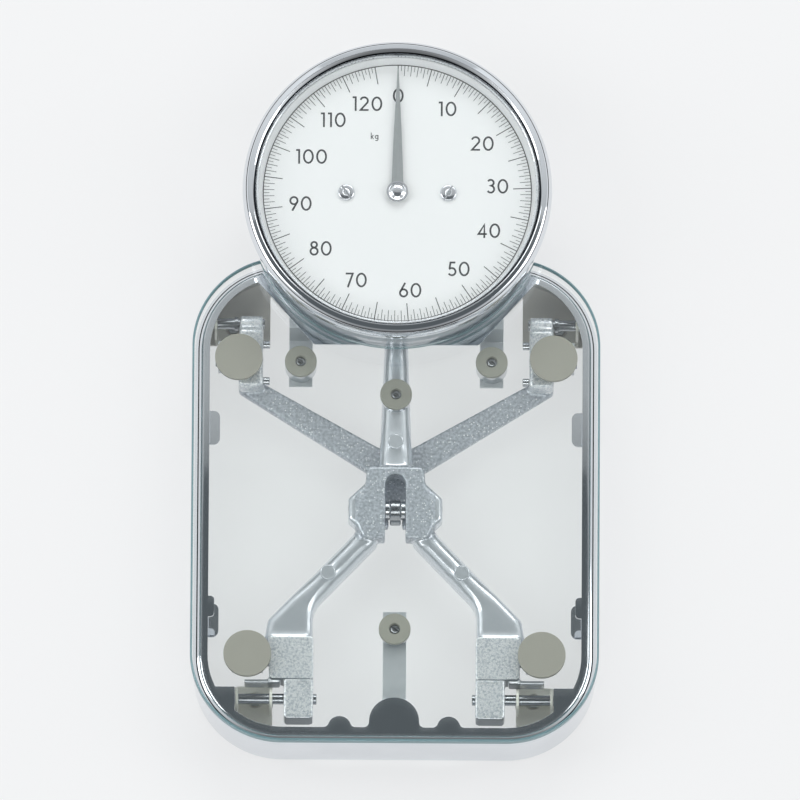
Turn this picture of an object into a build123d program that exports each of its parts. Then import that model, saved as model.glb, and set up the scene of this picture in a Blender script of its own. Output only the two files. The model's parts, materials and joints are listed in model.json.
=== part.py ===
from build123d import *
import math
import os

# Mechanical dial scale with a glass platform over its open lever work.
# Origin: middle of the whole outline, on the floor. X to the right, Y to the dial, Z up.

# Overall size
overall_length = 526.0
platform_width = 300.0
platform_corner = 68.0
platform_thickness = 8.0
platform_top = 62.0
bezel_radius = 113.9
bezel_overhang = 6.9
head_setback = 41.1
half_width = platform_width / 2
front_y = -overall_length / 2
dial_y = overall_length / 2 - bezel_radius
housing_radius = bezel_radius - bezel_overhang
platform_rear_y = dial_y - head_setback
platform_length = platform_rear_y - front_y
platform_middle_y = (front_y + platform_rear_y) / 2
platform_bottom = platform_top - platform_thickness

# Sheet steel base
sheet = 2.0
skirt_inset = 2.0
skirt_bottom = 5.0
shell_top = 50.0
shoulder_radius = 8.0
flange_width = 11.0
tongue_half_width = 60.4
tongue_lap = 1.3
tongue_slope = 1.13
centre_tab_radius = 18.4
centre_tab_shift = 4.6
small_tab_radius = 8.5
small_tab_x = 40.0
gusset_depth = 43.5
shell_underside = shell_top - sheet
tongue_front_y = dial_y - housing_radius + tongue_lap
flange_front_y = front_y + skirt_inset + flange_width
flange_rear_y = platform_rear_y - skirt_inset - flange_width
flange_x = half_width - skirt_inset - flange_width

# Lever pivots, all at one height
pivot_height = 33.0
pin_radius = 4.0
load_arm = 29.0
front_fulcrum_inset = 39.0
rear_fulcrum_inset = 44.0
nose_setback = 57.1
front_fulcrum_y = front_y + front_fulcrum_inset
rear_fulcrum_y = platform_rear_y - rear_fulcrum_inset
link_y = (front_fulcrum_y + rear_fulcrum_y) / 2
front_load_y = front_fulcrum_y + load_arm
rear_load_y = rear_fulcrum_y - load_arm
beam_nose_y = dial_y - nose_setback
beam_reach = beam_nose_y - front_fulcrum_y
running_gap = 0.1
free_gap = 0.4
side_gap = 0.5

# Feet and the plates they screw to
foot_height = 9.0
foot_radius = 13.0
foot_screw_radius = 2.5
front_foot_inset = 48.0
rear_foot_inset = 30.0
front_foot_shift = 5.0
rear_foot_shift = 3.0
front_foot_x = half_width - front_foot_inset
rear_foot_x = half_width - rear_foot_inset
front_foot_y = front_fulcrum_y + front_foot_shift
rear_foot_y = rear_fulcrum_y + rear_foot_shift
plate_top = foot_height + sheet

# Travel of the whole train from no load to full dial
pointer_sweep = 350.0
lever_tilt = 2.48
crosshead_travel = beam_reach * math.radians(lever_tilt)

# Main lever casting
beam_bottom = 32.0
beam_top = 44.0
arm_bottom = 24.0
arm_top = 43.0
arm_round = 5.0
arm_width = 17.5
casting_wall = 3.5
hub_top = 46.0
hub_half_width = 29.0
hub_rear_reach = 31.5
hub_front_reach = 24.0
block_top = 44.0
hub_slot_radius = 7.5
hub_slot_reach = 18.0
block_inset = 58.0
upper_block_width = 32.5
lower_block_width = 21.5
upper_block_x = (half_width - block_inset - upper_block_width, half_width - block_inset)
lower_block_x = (upper_block_x[0], upper_block_x[0] + lower_block_width)
block_bottom = 24.0
ejector_mark_radius = 6.0
ejector_mark_height = 0.4
cross_pin_height = 38.0
ear_x = 34.6
ear_half_height = 7.5
hub_rear_y = link_y + hub_rear_reach
hub_front_y = link_y - hub_front_reach
hub_slot_end_y = link_y + hub_slot_reach

# Rear lever casting
rear_arm_bottom = 18.0
rear_arm_top = 26.0
rear_block_inset = 34.0
rear_block_width = 18.0
rear_block_reach = 21.0
rear_boss_radius = 6.0
rear_block_x = (half_width - rear_block_inset - rear_block_width, half_width - rear_block_inset)
rear_block_y = (rear_load_y - rear_block_reach, rear_fulcrum_y - rear_boss_radius)
rear_block_top = 42.0
tongue_nose_half_width = 11.0
fork_half_width = 4.8
nose_pin_radius = 3.0
nose_pin_height = 22.0

# Pads, saddles and stops under the glass
pad_radius = 17.5
pad_thickness = 3.0
front_pad_inset = 42.0
rear_pad_inset = 34.2
front_pad_x = half_width - front_pad_inset
rear_pad_x = half_width - rear_pad_inset
saddle_sheet = 2.0
saddle_length = 20.0
buffer_radius = 11.6
buffer_gap = 2.0
buffer_top = platform_bottom - buffer_gap
strip_half_width = 8.6
strip_end = 2.9
rear_strip_height = 35.0
front_strip_height = 42.0
rear_strip_shift = 9.8
rear_buffer_gap = 1.8
front_buffer_reach = 74.8
beam_buffer_share = 0.58215
rear_strip_x = tongue_half_width + rear_strip_shift
rear_buffer_y = tongue_front_y - buffer_radius - rear_buffer_gap
front_buffer_y = flange_front_y + front_buffer_reach
beam_buffer_y = hub_rear_y + beam_buffer_share * (tongue_front_y - hub_rear_y)
rear_strip_end_y = rear_buffer_y - buffer_radius - strip_end
front_strip_end_y = front_buffer_y + buffer_radius + 1.5 * strip_end

# Dial head
housing_sheet = 1.5
housing_top = 92.0
cutout_gap = 3.0
dial_top = 88.0
dial_sheet = 1.2
dial_gap = 0.3
reveal_width = 4.0
bezel_lip = 3.8
bezel_inner_radius = housing_radius - bezel_lip
dial_window_radius = bezel_inner_radius - reveal_width
crystal_bottom = 96.0
crystal_thickness = 2.5
gasket_thickness = 1.0
bezel_bottom = 90.0
bezel_top = 105.0
floor_top = shell_top + housing_sheet
head_screw_x = 45.0
head_screw_inset = 19.9
head_screw_rows = (dial_y - housing_radius + head_screw_inset, beam_nose_y)
head_screw_places = [(side * head_screw_x, y) for y in head_screw_rows for side in (-1, 1)]
head_screw_radius = 2.5
window_half_width = 26.0
window_depth = 22.0
movement_front_y = beam_nose_y + window_depth / 2

# Movement inside the head
gear_module = 0.5
pinion_teeth = 12
pinion_radius = gear_module * pinion_teeth / 2
rack_travel = pinion_radius * math.radians(pointer_sweep)
crank_pivot_z = 55.5
output_height = 21.5
half_tan = rack_travel / 2 / output_height
crank_half_angle = math.degrees(math.atan(half_tan))
input_reach = crosshead_travel / 2 / half_tan
crank_pivot_y = beam_nose_y + input_reach
crank_pin_z = crank_pivot_z + crosshead_travel / 2
rack_pin_y = crank_pivot_y + rack_travel / 2
rack_pin_z = crank_pivot_z + output_height
small_pin_radius = 1.5
crank_slot_half_width = 4.9
crank_slot_reach = 5.5
crank_slot_length = crank_pivot_y + crank_slot_reach - movement_front_y + 1
crank_slot_middle_y = movement_front_y - 1 + crank_slot_length / 2
post_radius = 3.5
plate_half_width = 22.5
yoke_arm_x = (25.5, 30.5)
yoke_bottom = 81.0
yoke_top = 84.8
nut_height = 1.6
zero_reach = 42.9
zero_y = dial_y + zero_reach
spring_x = 17.0
spring_coil_radius = 5.6
spring_wire_radius = 0.9
spring_turns = 7
crosshead_bottom = 50.5
crosshead_top = 55.5

os.makedirs("parts", exist_ok=True)


def save(part, name):
    """Label a finished piece and write it under that name."""
    part.label = name
    export_step(part, f"parts/{name}.step")


def platform_outline(inset):
    """Rounded rectangle of the glass, drawn in all round by an inset."""
    with BuildSketch() as outline:
        with Locations((0, platform_middle_y)):
            RectangleRounded(
                platform_width - 2 * inset, platform_length - 2 * inset, platform_corner - inset
            )
    return outline.sketch


def pin_along_x(x_from, x_to, y, z, radius, break_edge=0.4):
    """Round pin lying along X, with its ends broken."""
    with BuildPart() as pin:
        with BuildSketch(Plane.YZ.offset(x_from)):
            with Locations((y, z)):
                Circle(radius)
        extrude(amount=x_to - x_from)
        chamfer(pin.edges().filter_by(GeomType.CIRCLE), break_edge)
    return pin.part


def both_sides(part):
    """A piece and its mirror image across the middle plane."""
    with BuildPart() as pair:
        add(part)
        mirror(part, about=Plane.YZ)
    return pair.part


# Glass platform, cut back in a circle round the dial head
with BuildPart() as glass_platform:
    with BuildSketch(Plane.XY.offset(platform_bottom)) as glass_outline:
        add(platform_outline(0))
        with Locations((0, dial_y)):
            Circle(housing_radius + cutout_gap, mode=Mode.SUBTRACT)
        horns = glass_outline.vertices().group_by(Axis.Y)[-1]
        fillet(horns, 2.5)
    extrude(amount=platform_thickness)
    chamfer(glass_platform.faces().sort_by(Axis.Z)[-1].outer_wire().edges(), 1.2)
    chamfer(glass_platform.faces().sort_by(Axis.Z)[0].outer_wire().edges(), 1.2)
save(glass_platform.part, "glass_platform")

pad_places = [(side * front_pad_x, front_load_y) for side in (-1, 1)]
pad_places += [(side * rear_pad_x, rear_load_y) for side in (-1, 1)]

# Round pads glued under the glass over the four load pins
with BuildPart() as platform_pads:
    with BuildSketch(Plane.XY.offset(platform_bottom - pad_thickness)):
        with Locations(*pad_places):
            Circle(pad_radius)
    extrude(amount=pad_thickness)
save(platform_pads.part, "platform_pads")

# Folded steel saddles that hang the platform on the load pins
saddle_top = platform_bottom - pad_thickness
saddle_bottom = pivot_height - 2 * pin_radius
saddle_spans = {
    front_load_y: (front_pad_x - 11.5, front_pad_x + 11.0),
    rear_load_y: (rear_pad_x + 2.2, rear_pad_x + 15.2),
}
with BuildPart() as bearing_saddles:
    for load_y, (inner_x, outer_x) in saddle_spans.items():
        for side in (-1, 1):
            with BuildSketch(Plane.XY.offset(saddle_top - saddle_sheet)):
                with Locations((side * (inner_x + outer_x) / 2, load_y)):
                    Rectangle(outer_x - inner_x, saddle_length)
            extrude(amount=saddle_sheet)
            for cheek_x in (inner_x, outer_x - saddle_sheet):
                start_x = cheek_x if side > 0 else -cheek_x - saddle_sheet
                with BuildSketch(Plane.YZ.offset(start_x)) as cheek:
                    with Locations((load_y, (saddle_top + saddle_bottom) / 2)):
                        Rectangle(saddle_length * 0.8, saddle_top - saddle_bottom)
                    fillet(cheek.vertices().group_by(Axis.Z)[0], 5)
                    with Locations((load_y, pivot_height)):
                        Circle(pin_radius + free_gap, mode=Mode.SUBTRACT)
                extrude(amount=saddle_sheet)
save(bearing_saddles.part, "bearing_saddles")

# Pressed steel base with its turned-in flange, tabs and head tongue
tongue_reach = (flange_rear_y - tongue_front_y) / tongue_slope
side_tab_y = front_load_y + 37.0
hem_tab_y = (front_load_y + 39.0, rear_load_y - 43.0)
hem_tab_reach = 9.0
front_cheek_gap = 8.5
front_cheek_span = 25.0
front_cheek_x = (lower_block_x[1] + front_cheek_gap, lower_block_x[1] + front_cheek_gap + front_cheek_span)
gusset_x = front_cheek_x[1] + sheet + side_gap
gusset_y = front_y + gusset_depth
with BuildPart() as base_shell:
    with BuildSketch(Plane.XY.offset(skirt_bottom)):
        add(platform_outline(skirt_inset))
    extrude(amount=shell_top - skirt_bottom)
    fillet(base_shell.faces().sort_by(Axis.Z)[-1].edges(), shoulder_radius)
    offset(amount=-sheet, openings=base_shell.faces().sort_by(Axis.Z)[0])
    with BuildSketch(Plane.XY.offset(shell_top)) as flange_opening:
        add(platform_outline(skirt_inset + flange_width))
        with BuildLine():
            Polyline(
                (-tongue_half_width, tongue_front_y),
                (tongue_half_width, tongue_front_y),
                (tongue_half_width + tongue_reach, flange_rear_y + 1),
                (-tongue_half_width - tongue_reach, flange_rear_y + 1),
                close=True,
            )
        make_face(mode=Mode.SUBTRACT)
        with Locations((0, flange_front_y + centre_tab_shift)):
            Circle(centre_tab_radius, mode=Mode.SUBTRACT)
        with Locations((-small_tab_x, flange_front_y), (small_tab_x, flange_front_y)):
            Circle(small_tab_radius, mode=Mode.SUBTRACT)
        with Locations((-flange_x, side_tab_y), (flange_x, side_tab_y)):
            RectangleRounded(9, 16, 3, mode=Mode.SUBTRACT)
        gusset_middle_x = (half_width + gusset_x) / 2
        gusset_middle_y = (front_y + gusset_y) / 2
        with Locations((-gusset_middle_x, gusset_middle_y), (gusset_middle_x, gusset_middle_y)):
            Rectangle(half_width - gusset_x, gusset_y - front_y, mode=Mode.SUBTRACT)
        corners = flange_opening.vertices()
        tab_reach = small_tab_x + 2 * small_tab_radius
        tab_roots = [v for v in corners if abs(v.X) < tab_reach and v.Y < flange_front_y + 0.1]
        fillet(tab_roots, 4)
        tongue_corners = [v for v in flange_opening.vertices() if abs(v.Y - tongue_front_y) < 0.1]
        fillet([v for v in tongue_corners if abs(v.X) < tongue_half_width + 1], 6)
    extrude(amount=-sheet - 1, mode=Mode.SUBTRACT)
    with BuildSketch(Plane.XY.offset(skirt_bottom)):
        hem_tab_x = half_width - skirt_inset - sheet / 2 - hem_tab_reach + 0.5
        with Locations(*[(side * hem_tab_x, y) for side in (-1, 1) for y in hem_tab_y]):
            RectangleRounded(2 * hem_tab_reach, 26, 5)
    extrude(amount=sheet)
    with BuildSketch(Plane.XY.offset(shell_top)):
        with Locations((0, beam_nose_y)):
            Rectangle(2 * window_half_width, window_depth)
        with Locations(*head_screw_places):
            Circle(head_screw_radius)
    extrude(amount=-2 * sheet, mode=Mode.SUBTRACT)
save(base_shell.part, "base_shell")

foot_places = [(side * front_foot_x, front_foot_y) for side in (-1, 1)]
foot_places += [(side * rear_foot_x, rear_foot_y) for side in (-1, 1)]

# Corner plates spot-welded inside the skirt
bracket_length = 29.0
bracket_shift = 1.0
rear_bracket_half = 10.0
rear_plate_inset = 57.0
plate_edges = [
    (front_cheek_x[0], front_y, front_fulcrum_y + bracket_shift + bracket_length / 2),
    (half_width - rear_plate_inset, rear_fulcrum_y - rear_bracket_half, platform_rear_y),
]
with BuildPart() as foot_plates:
    with BuildSketch(Plane.XY.offset(foot_height)):
        for inner_x, low_y, high_y in plate_edges:
            middle_x = (inner_x + half_width) / 2
            with Locations((-middle_x, (low_y + high_y) / 2), (middle_x, (low_y + high_y) / 2)):
                Rectangle(half_width - inner_x, high_y - low_y)
        add(platform_outline(skirt_inset + sheet), mode=Mode.INTERSECT)
        with Locations(*foot_places):
            Circle(foot_screw_radius, mode=Mode.SUBTRACT)
    extrude(amount=sheet)
save(foot_plates.part, "foot_plates")

# Turned rubber feet, counterbored from below for their screws
upwards = (Align.CENTER, Align.CENTER, Align.MIN)
with BuildPart() as rubber_feet:
    for foot_x, foot_y in foot_places:
        with BuildSketch():
            with Locations((foot_x, foot_y)):
                Circle(foot_radius)
        extrude(amount=foot_height, taper=6)
    fillet(rubber_feet.edges().group_by(Axis.Z)[0], 1)
    with Locations(*[(x, y, 0) for x, y in foot_places]):
        Cylinder(5, 3, align=upwards, mode=Mode.SUBTRACT)
        Cylinder(foot_screw_radius, foot_height, align=upwards, mode=Mode.SUBTRACT)
save(rubber_feet.part, "rubber_feet")

# Foot screws with their hexagon nuts on top of the plates
with BuildPart() as foot_screws:
    for foot_x, foot_y in foot_places:
        with Locations((foot_x, foot_y, 1.0)):
            Cylinder(4.5, 2, align=upwards)
            Cylinder(foot_screw_radius, plate_top + 4, align=upwards)
        with BuildSketch(Plane.XY.offset(plate_top)):
            with Locations((foot_x, foot_y)):
                RegularPolygon(4.6, 6)
        extrude(amount=3)
save(foot_screws.part, "foot_screws")

cheek_top = pivot_height + 2 * pin_radius
rear_cheek_inset = 18.0
rear_cheek_x = half_width - rear_cheek_inset


def bearing_cheek(cheek_x, side, pin_y):
    """Upright cheek of sheet steel, round on top, bored for a fulcrum pin."""
    start_x = cheek_x if side > 0 else -cheek_x - sheet
    with BuildPart() as cheek:
        with BuildSketch(Plane.YZ.offset(start_x)) as profile:
            with Locations((pin_y, (plate_top + cheek_top) / 2)):
                Rectangle(16, cheek_top - plate_top)
            fillet(profile.vertices().group_by(Axis.Z)[-1], 7.5)
            with Locations((pin_y, pivot_height)):
                Circle(pin_radius + running_gap, mode=Mode.SUBTRACT)
        extrude(amount=sheet)
    return cheek.part


# Front bearing brackets, a base and two cheeks each, standing on the corner plates
bracket_hole_radius = 6.2
with BuildPart() as front_brackets:
    for side in (-1, 1):
        with BuildSketch(Plane.XY.offset(plate_top)):
            bracket_middle_x = side * (front_cheek_x[0] + front_cheek_x[1] + sheet) / 2
            with Locations((bracket_middle_x, front_fulcrum_y + bracket_shift)):
                RectangleRounded(front_cheek_x[1] + sheet - front_cheek_x[0], bracket_length, 2)
            with Locations((side * front_foot_x, front_foot_y)):
                Circle(bracket_hole_radius, mode=Mode.SUBTRACT)
        extrude(amount=sheet)
        for cheek_x in front_cheek_x:
            add(bearing_cheek(cheek_x, side, front_fulcrum_y))
save(front_brackets.part, "front_brackets")

# Rear bearing brackets, one cheek each, under the corners of the flange
with BuildPart() as rear_brackets:
    for side in (-1, 1):
        with BuildSketch(Plane.XY.offset(plate_top)):
            with Locations((side * (rear_cheek_x + sheet - 14), rear_fulcrum_y)):
                RectangleRounded(28, 2 * rear_bracket_half, 2)
            with Locations((side * rear_foot_x, rear_foot_y)):
                Circle(bracket_hole_radius, mode=Mode.SUBTRACT)
        extrude(amount=sheet)
        add(bearing_cheek(rear_cheek_x, side, rear_fulcrum_y))
save(rear_brackets.part, "rear_brackets")

# Main lever: two load arms, the forked hub and the long beam, cast in one
block_front_y = front_fulcrum_y - 17.0
block_step_y = front_load_y - 16.0
upper_block_rear_y = front_load_y + 16.0
beam_end_y = beam_nose_y + 6.0
beam_step_y = beam_nose_y - 50.0
beam_root_y = link_y + 20.0
nose_slot_half_width = 3.5
nose_pin_z = 37.0
beam_pin_radius = 2.5
load_pin_depth = 10.0
pin_stand = 3.0

with BuildSketch() as beam_outline:
    with BuildLine():
        Polyline(
            (-12.7, beam_root_y), (-8.8, beam_step_y), (-7.5, beam_end_y),
            (7.5, beam_end_y), (8.8, beam_step_y), (12.7, beam_root_y),
            close=True,
        )
    make_face()

with BuildPart() as lever_beam:
    with BuildSketch(Plane.XY.offset(beam_bottom)):
        add(beam_outline.sketch)
    extrude(amount=beam_top - beam_bottom)
    long_edges = [e for e in lever_beam.edges().group_by(Axis.Z)[-1] if e.length > 30]
    fillet(long_edges, arm_round)

# An arm is a straight bar of constant width from the hub to its block
arm_start = Vector(hub_half_width - 3.0, link_y - 13.5)
arm_end = Vector(upper_block_x[1] + 1.2, front_load_y + 30.0)
arm_way = (arm_end - arm_start).normalized()
arm_across = Vector(-arm_way.Y, arm_way.X)
inner_start = arm_start - arm_across * arm_width
inner_x = upper_block_x[0] + 0.5
inner_y = inner_start.Y + (inner_x - inner_start.X) * arm_way.Y / arm_way.X
arm_foot_y = front_load_y + 12.0
arm_mark = arm_start + (arm_end - arm_start) * 0.43 - arm_across * (arm_width / 2)
with BuildSketch() as arm_outline:
    with BuildLine():
        Polyline(
            (12, arm_start.Y), (arm_start.X, arm_start.Y), (arm_end.X, arm_end.Y),
            (upper_block_x[1] + 4, arm_foot_y), (inner_x, arm_foot_y), (inner_x, inner_y),
            (inner_start.X, inner_start.Y),
            close=True,
        )
    make_face()
    fillet(arm_outline.vertices().sort_by_distance((inner_x, inner_y))[0], 22)

with BuildPart() as lever_arm:
    with BuildSketch(Plane.XY.offset(arm_bottom)):
        add(arm_outline.sketch)
    extrude(amount=arm_top - arm_bottom)
    top_edges = lever_arm.edges().group_by(Axis.Z)[-1]
    fillet([e for e in top_edges if arm_foot_y + 1 < e.center().Y < inner_start.Y - 1], arm_round)
    with BuildSketch(Plane.XY.offset(arm_bottom)):
        offset(arm_outline.sketch, amount=-casting_wall)
    extrude(amount=arm_top - arm_bottom - casting_wall, mode=Mode.SUBTRACT)

# Ear round one end of the cross pin, drawn out of the side of the hub
ear_root_x = hub_half_width - 5
ear_bevel = 2.0
with BuildPart() as hub_ear:
    with BuildSketch(Plane.XY.offset(cross_pin_height - ear_half_height)):
        with BuildLine():
            Polyline(
                (ear_root_x, link_y + 17), (ear_x - ear_bevel, link_y + 9), (ear_x, link_y + 9 - ear_bevel),
                (ear_x, link_y - 11 + ear_bevel), (ear_x - ear_bevel, link_y - 11), (ear_root_x, link_y - 19),
                close=True,
            )
        make_face()
    extrude(amount=2 * ear_half_height)
    upper_edges = hub_ear.edges().group_by(Axis.Z)[-1]
    chamfer([e for e in upper_edges if e.center().X > ear_root_x + 0.1], ear_bevel)

with BuildPart() as main_lever:
    add(lever_beam.part)
    add(both_sides(lever_arm.part))
    with BuildSketch(Plane.XY.offset(beam_bottom)) as hub_outline:
        with BuildLine():
            left_side = [
                (-hub_half_width + 8, hub_rear_y), (-hub_half_width + 7.2, link_y + 20),
                (-hub_half_width + 2.5, link_y + 7), (-hub_half_width, link_y - 2),
                (-hub_half_width, link_y - 12), (-hub_half_width + 5, hub_front_y + 1),
                (-hub_half_width + 11, hub_front_y),
            ]
            Polyline(*left_side, *[(-x, y) for x, y in reversed(left_side)], close=True)
        make_face()
        rear_corners = hub_outline.vertices().group_by(Axis.Y)[-1]
        fillet(rear_corners, 4)
    extrude(amount=hub_top - beam_bottom)
    hub_rim = [e for e in main_lever.edges().group_by(Axis.Z)[-1]]
    fillet(hub_rim, 1.6)
    add(both_sides(hub_ear.part))
    for side in (-1, 1):
        with BuildSketch(Plane.XY.offset(block_bottom)):
            with Locations((side * (upper_block_x[0] + upper_block_x[1]) / 2, front_load_y)):
                RectangleRounded(
                    upper_block_x[1] - upper_block_x[0], upper_block_rear_y - block_step_y, 2
                )
        extrude(amount=block_top - block_bottom)
        with BuildSketch(Plane.XY.offset(block_bottom)):
            with Locations(
                (side * (lower_block_x[0] + lower_block_x[1]) / 2, (block_front_y + block_step_y) / 2 + 1)
            ):
                RectangleRounded(
                    lower_block_x[1] - lower_block_x[0], block_step_y - block_front_y + 2, 2
                )
        extrude(amount=block_top - 1.5 - block_bottom)
        with BuildSketch(Plane.XY.offset(block_bottom + 2)):
            with Locations((side * (upper_block_x[1] + 5), block_step_y - 1.2)):
                Rectangle(26, 3)
        extrude(amount=14)
        with BuildSketch(Plane.XY.offset(arm_top - 2)):
            with Locations((side * arm_mark.X, arm_mark.Y)):
                Circle(ejector_mark_radius)
        extrude(amount=2 + ejector_mark_height)
    with BuildSketch(Plane.XY.offset(beam_top - 2)):
        with Locations((0, hub_rear_y + 19.5)):
            Circle(ejector_mark_radius)
    extrude(amount=2 + ejector_mark_height)
    # slot for the link, open to the front
    with BuildSketch(Plane.XY.offset(beam_bottom - 10)):
        with Locations((0, hub_slot_end_y)):
            Circle(hub_slot_radius)
        with Locations((0, (hub_slot_end_y + hub_front_y) / 2 - 5)):
            Rectangle(2 * hub_slot_radius, hub_slot_end_y - hub_front_y + 10)
    extrude(amount=30, mode=Mode.SUBTRACT)
    # fork for the pull strip at the end of the beam
    with BuildSketch(Plane.XY.offset(beam_bottom - 1)):
        with Locations((0, beam_nose_y)):
            Rectangle(2 * nose_slot_half_width, 16)
    extrude(amount=30, mode=Mode.SUBTRACT)
    # bores for the pins
    with BuildSketch(Plane.YZ.offset(-60)):
        with Locations((beam_nose_y, nose_pin_z)):
            Circle(beam_pin_radius)
        with Locations((link_y, cross_pin_height)):
            Circle(pin_radius)
    extrude(amount=120, mode=Mode.SUBTRACT)
    with BuildSketch(Plane.YZ.offset(-half_width)):
        with Locations((front_fulcrum_y, pivot_height)):
            Circle(pin_radius)
    extrude(amount=platform_width, mode=Mode.SUBTRACT)
    for start_x in (-upper_block_x[1] - 8, upper_block_x[1] - load_pin_depth):
        with BuildSketch(Plane.YZ.offset(start_x)):
            with Locations((front_load_y, pivot_height)):
                Circle(pin_radius)
        extrude(amount=load_pin_depth + 8, mode=Mode.SUBTRACT)
    with BuildSketch(Plane.XY.offset(beam_bottom - 1)):
        with Locations((0, beam_buffer_y)):
            Circle(2)
    extrude(amount=20, mode=Mode.SUBTRACT)
save(main_lever.part, "main_lever")

# Front fulcrum pins, pressed through the lower blocks and resting in the brackets
with BuildPart() as front_fulcrum_pins:
    pin_ends = (lower_block_x[0] - 2.5, front_cheek_x[1] + sheet + 1)
    add(both_sides(pin_along_x(*pin_ends, front_fulcrum_y, pivot_height, pin_radius)))
save(front_fulcrum_pins.part, "front_fulcrum_pins")

# Front load pins, pressed into the outer faces of the upper blocks
with BuildPart() as front_load_pins:
    pin_ends = (upper_block_x[1] - load_pin_depth, saddle_spans[front_load_y][1] + pin_stand)
    add(both_sides(pin_along_x(*pin_ends, front_load_y, pivot_height, pin_radius)))
save(front_load_pins.part, "front_load_pins")

# Cross pin that carries the link between the two legs of the hub
with BuildPart() as cross_pin:
    add(pin_along_x(-ear_x, ear_x, link_y, cross_pin_height, pin_radius))
save(cross_pin.part, "cross_pin")

# Collars that keep the link in the middle of the slot
with BuildPart() as link_collars:
    for start_x in (-7.3, 4.4):
        with BuildSketch(Plane.YZ.offset(start_x)):
            with Locations((link_y, cross_pin_height)):
                Circle(6.2)
                Circle(pin_radius, mode=Mode.SUBTRACT)
        extrude(amount=2.9)
save(link_collars.part, "link_collars")

# Pin across the fork at the end of the beam
with BuildPart() as beam_pin:
    add(pin_along_x(-8.5, 8.5, beam_nose_y, nose_pin_z, beam_pin_radius))
save(beam_pin.part, "beam_pin")

# Link between the hub and the nose of the rear lever
link_half_thickness = 4.0
link_eye_radius = 7.0
link_slot_length = 1.0
with BuildPart() as link_shackle:
    with BuildSketch(Plane.YZ.offset(-link_half_thickness)):
        with Locations((link_y, cross_pin_height), (link_y, nose_pin_height)):
            Circle(link_eye_radius)
        with Locations((link_y, (cross_pin_height + nose_pin_height) / 2)):
            Rectangle(10, cross_pin_height - nose_pin_height)
        with Locations((link_y, cross_pin_height)):
            Circle(pin_radius + free_gap, mode=Mode.SUBTRACT)
        with Locations((link_y + link_slot_length / 2 - 0.2, nose_pin_height)):
            SlotCenterToCenter(link_slot_length, 2 * (nose_pin_radius + free_gap), mode=Mode.SUBTRACT)
    extrude(amount=2 * link_half_thickness)
    outer_rims = link_shackle.edges().filter_by(Plane.YZ).filter_by(GeomType.CIRCLE)
    chamfer([e for e in outer_rims if e.radius > 6], 0.8)
save(link_shackle.part, "link_shackle")

# Rear lever: two flat arms meeting in a forked nose under the hub
nose_front_y = link_y - 10.0
with BuildPart() as rear_lever:
    with BuildSketch(Plane.XY.offset(rear_arm_bottom)) as rear_outline:
        with BuildLine():
            right_side = [
                (13.2, link_y + 52.4), (rear_block_x[0] - 2, rear_block_y[0] + 6),
                (rear_block_x[1], rear_block_y[0]), (2 * tongue_nose_half_width + 0.8, link_y + 34),
                (tongue_nose_half_width, link_y + 27), (tongue_nose_half_width, nose_front_y),
            ]
            left_side = [(-x, y) for x, y in reversed(right_side)]
            Polyline((0, link_y + 47), *right_side, *left_side, close=True)
        make_face()
        fillet(rear_outline.vertices().sort_by_distance((0, nose_front_y))[0:2], 4)
    extrude(amount=rear_arm_top - rear_arm_bottom)
    fillet(rear_lever.edges().group_by(Axis.Z)[-1], 1)
    for side in (-1, 1):
        block_middle_x = side * (rear_block_x[0] + rear_block_x[1]) / 2
        with BuildSketch(Plane.XY.offset(rear_arm_bottom)):
            with Locations((block_middle_x, (rear_block_y[0] + rear_block_y[1]) / 2)):
                RectangleRounded(rear_block_x[1] - rear_block_x[0], rear_block_y[1] - rear_block_y[0], 2)
        extrude(amount=rear_block_top - rear_arm_bottom)
        boss_x = rear_block_x[0] if side > 0 else -rear_block_x[1]
        with BuildSketch(Plane.YZ.offset(boss_x)):
            with Locations((rear_fulcrum_y, pivot_height)):
                Circle(rear_boss_radius)
            with Locations((rear_fulcrum_y - 4, pivot_height)):
                Rectangle(8, 2 * rear_boss_radius)
        extrude(amount=rear_block_x[1] - rear_block_x[0])
    with BuildSketch(Plane.XY.offset(rear_arm_bottom)):
        with Locations((0, link_y - 1)):
            Rectangle(2 * fork_half_width, 22)
    extrude(amount=rear_arm_top - rear_arm_bottom, mode=Mode.SUBTRACT)
    with BuildSketch(Plane.YZ.offset(-half_width)):
        with Locations((rear_fulcrum_y, pivot_height), (rear_load_y, pivot_height)):
            Circle(pin_radius)
        with Locations((link_y, nose_pin_height)):
            Circle(nose_pin_radius)
    extrude(amount=platform_width, mode=Mode.SUBTRACT)
save(rear_lever.part, "rear_lever")

# Rear fulcrum pins, each with a turned collar outside the block
with BuildPart() as rear_fulcrum_pins:
    pin_end_x = rear_cheek_x + sheet + 1
    add(both_sides(pin_along_x(rear_block_x[0] - 1, pin_end_x, rear_fulcrum_y, pivot_height, pin_radius)))
    for start_x in (-rear_block_x[1] - 3.2, rear_block_x[1] + 0.6):
        with BuildSketch(Plane.YZ.offset(start_x)):
            with Locations((rear_fulcrum_y, pivot_height)):
                Circle(5.2)
        extrude(amount=2.6)
save(rear_fulcrum_pins.part, "rear_fulcrum_pins")

# Rear load pins
with BuildPart() as rear_load_pins:
    pin_ends = (rear_block_x[0], saddle_spans[rear_load_y][1] + pin_stand - 1)
    add(both_sides(pin_along_x(*pin_ends, rear_load_y, pivot_height, pin_radius)))
save(rear_load_pins.part, "rear_load_pins")

# Pin through the forked nose
with BuildPart() as rear_nose_pin:
    add(
        pin_along_x(
            -tongue_nose_half_width, tongue_nose_half_width, link_y, nose_pin_height, nose_pin_radius
        )
    )
save(rear_nose_pin.part, "rear_nose_pin")

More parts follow.
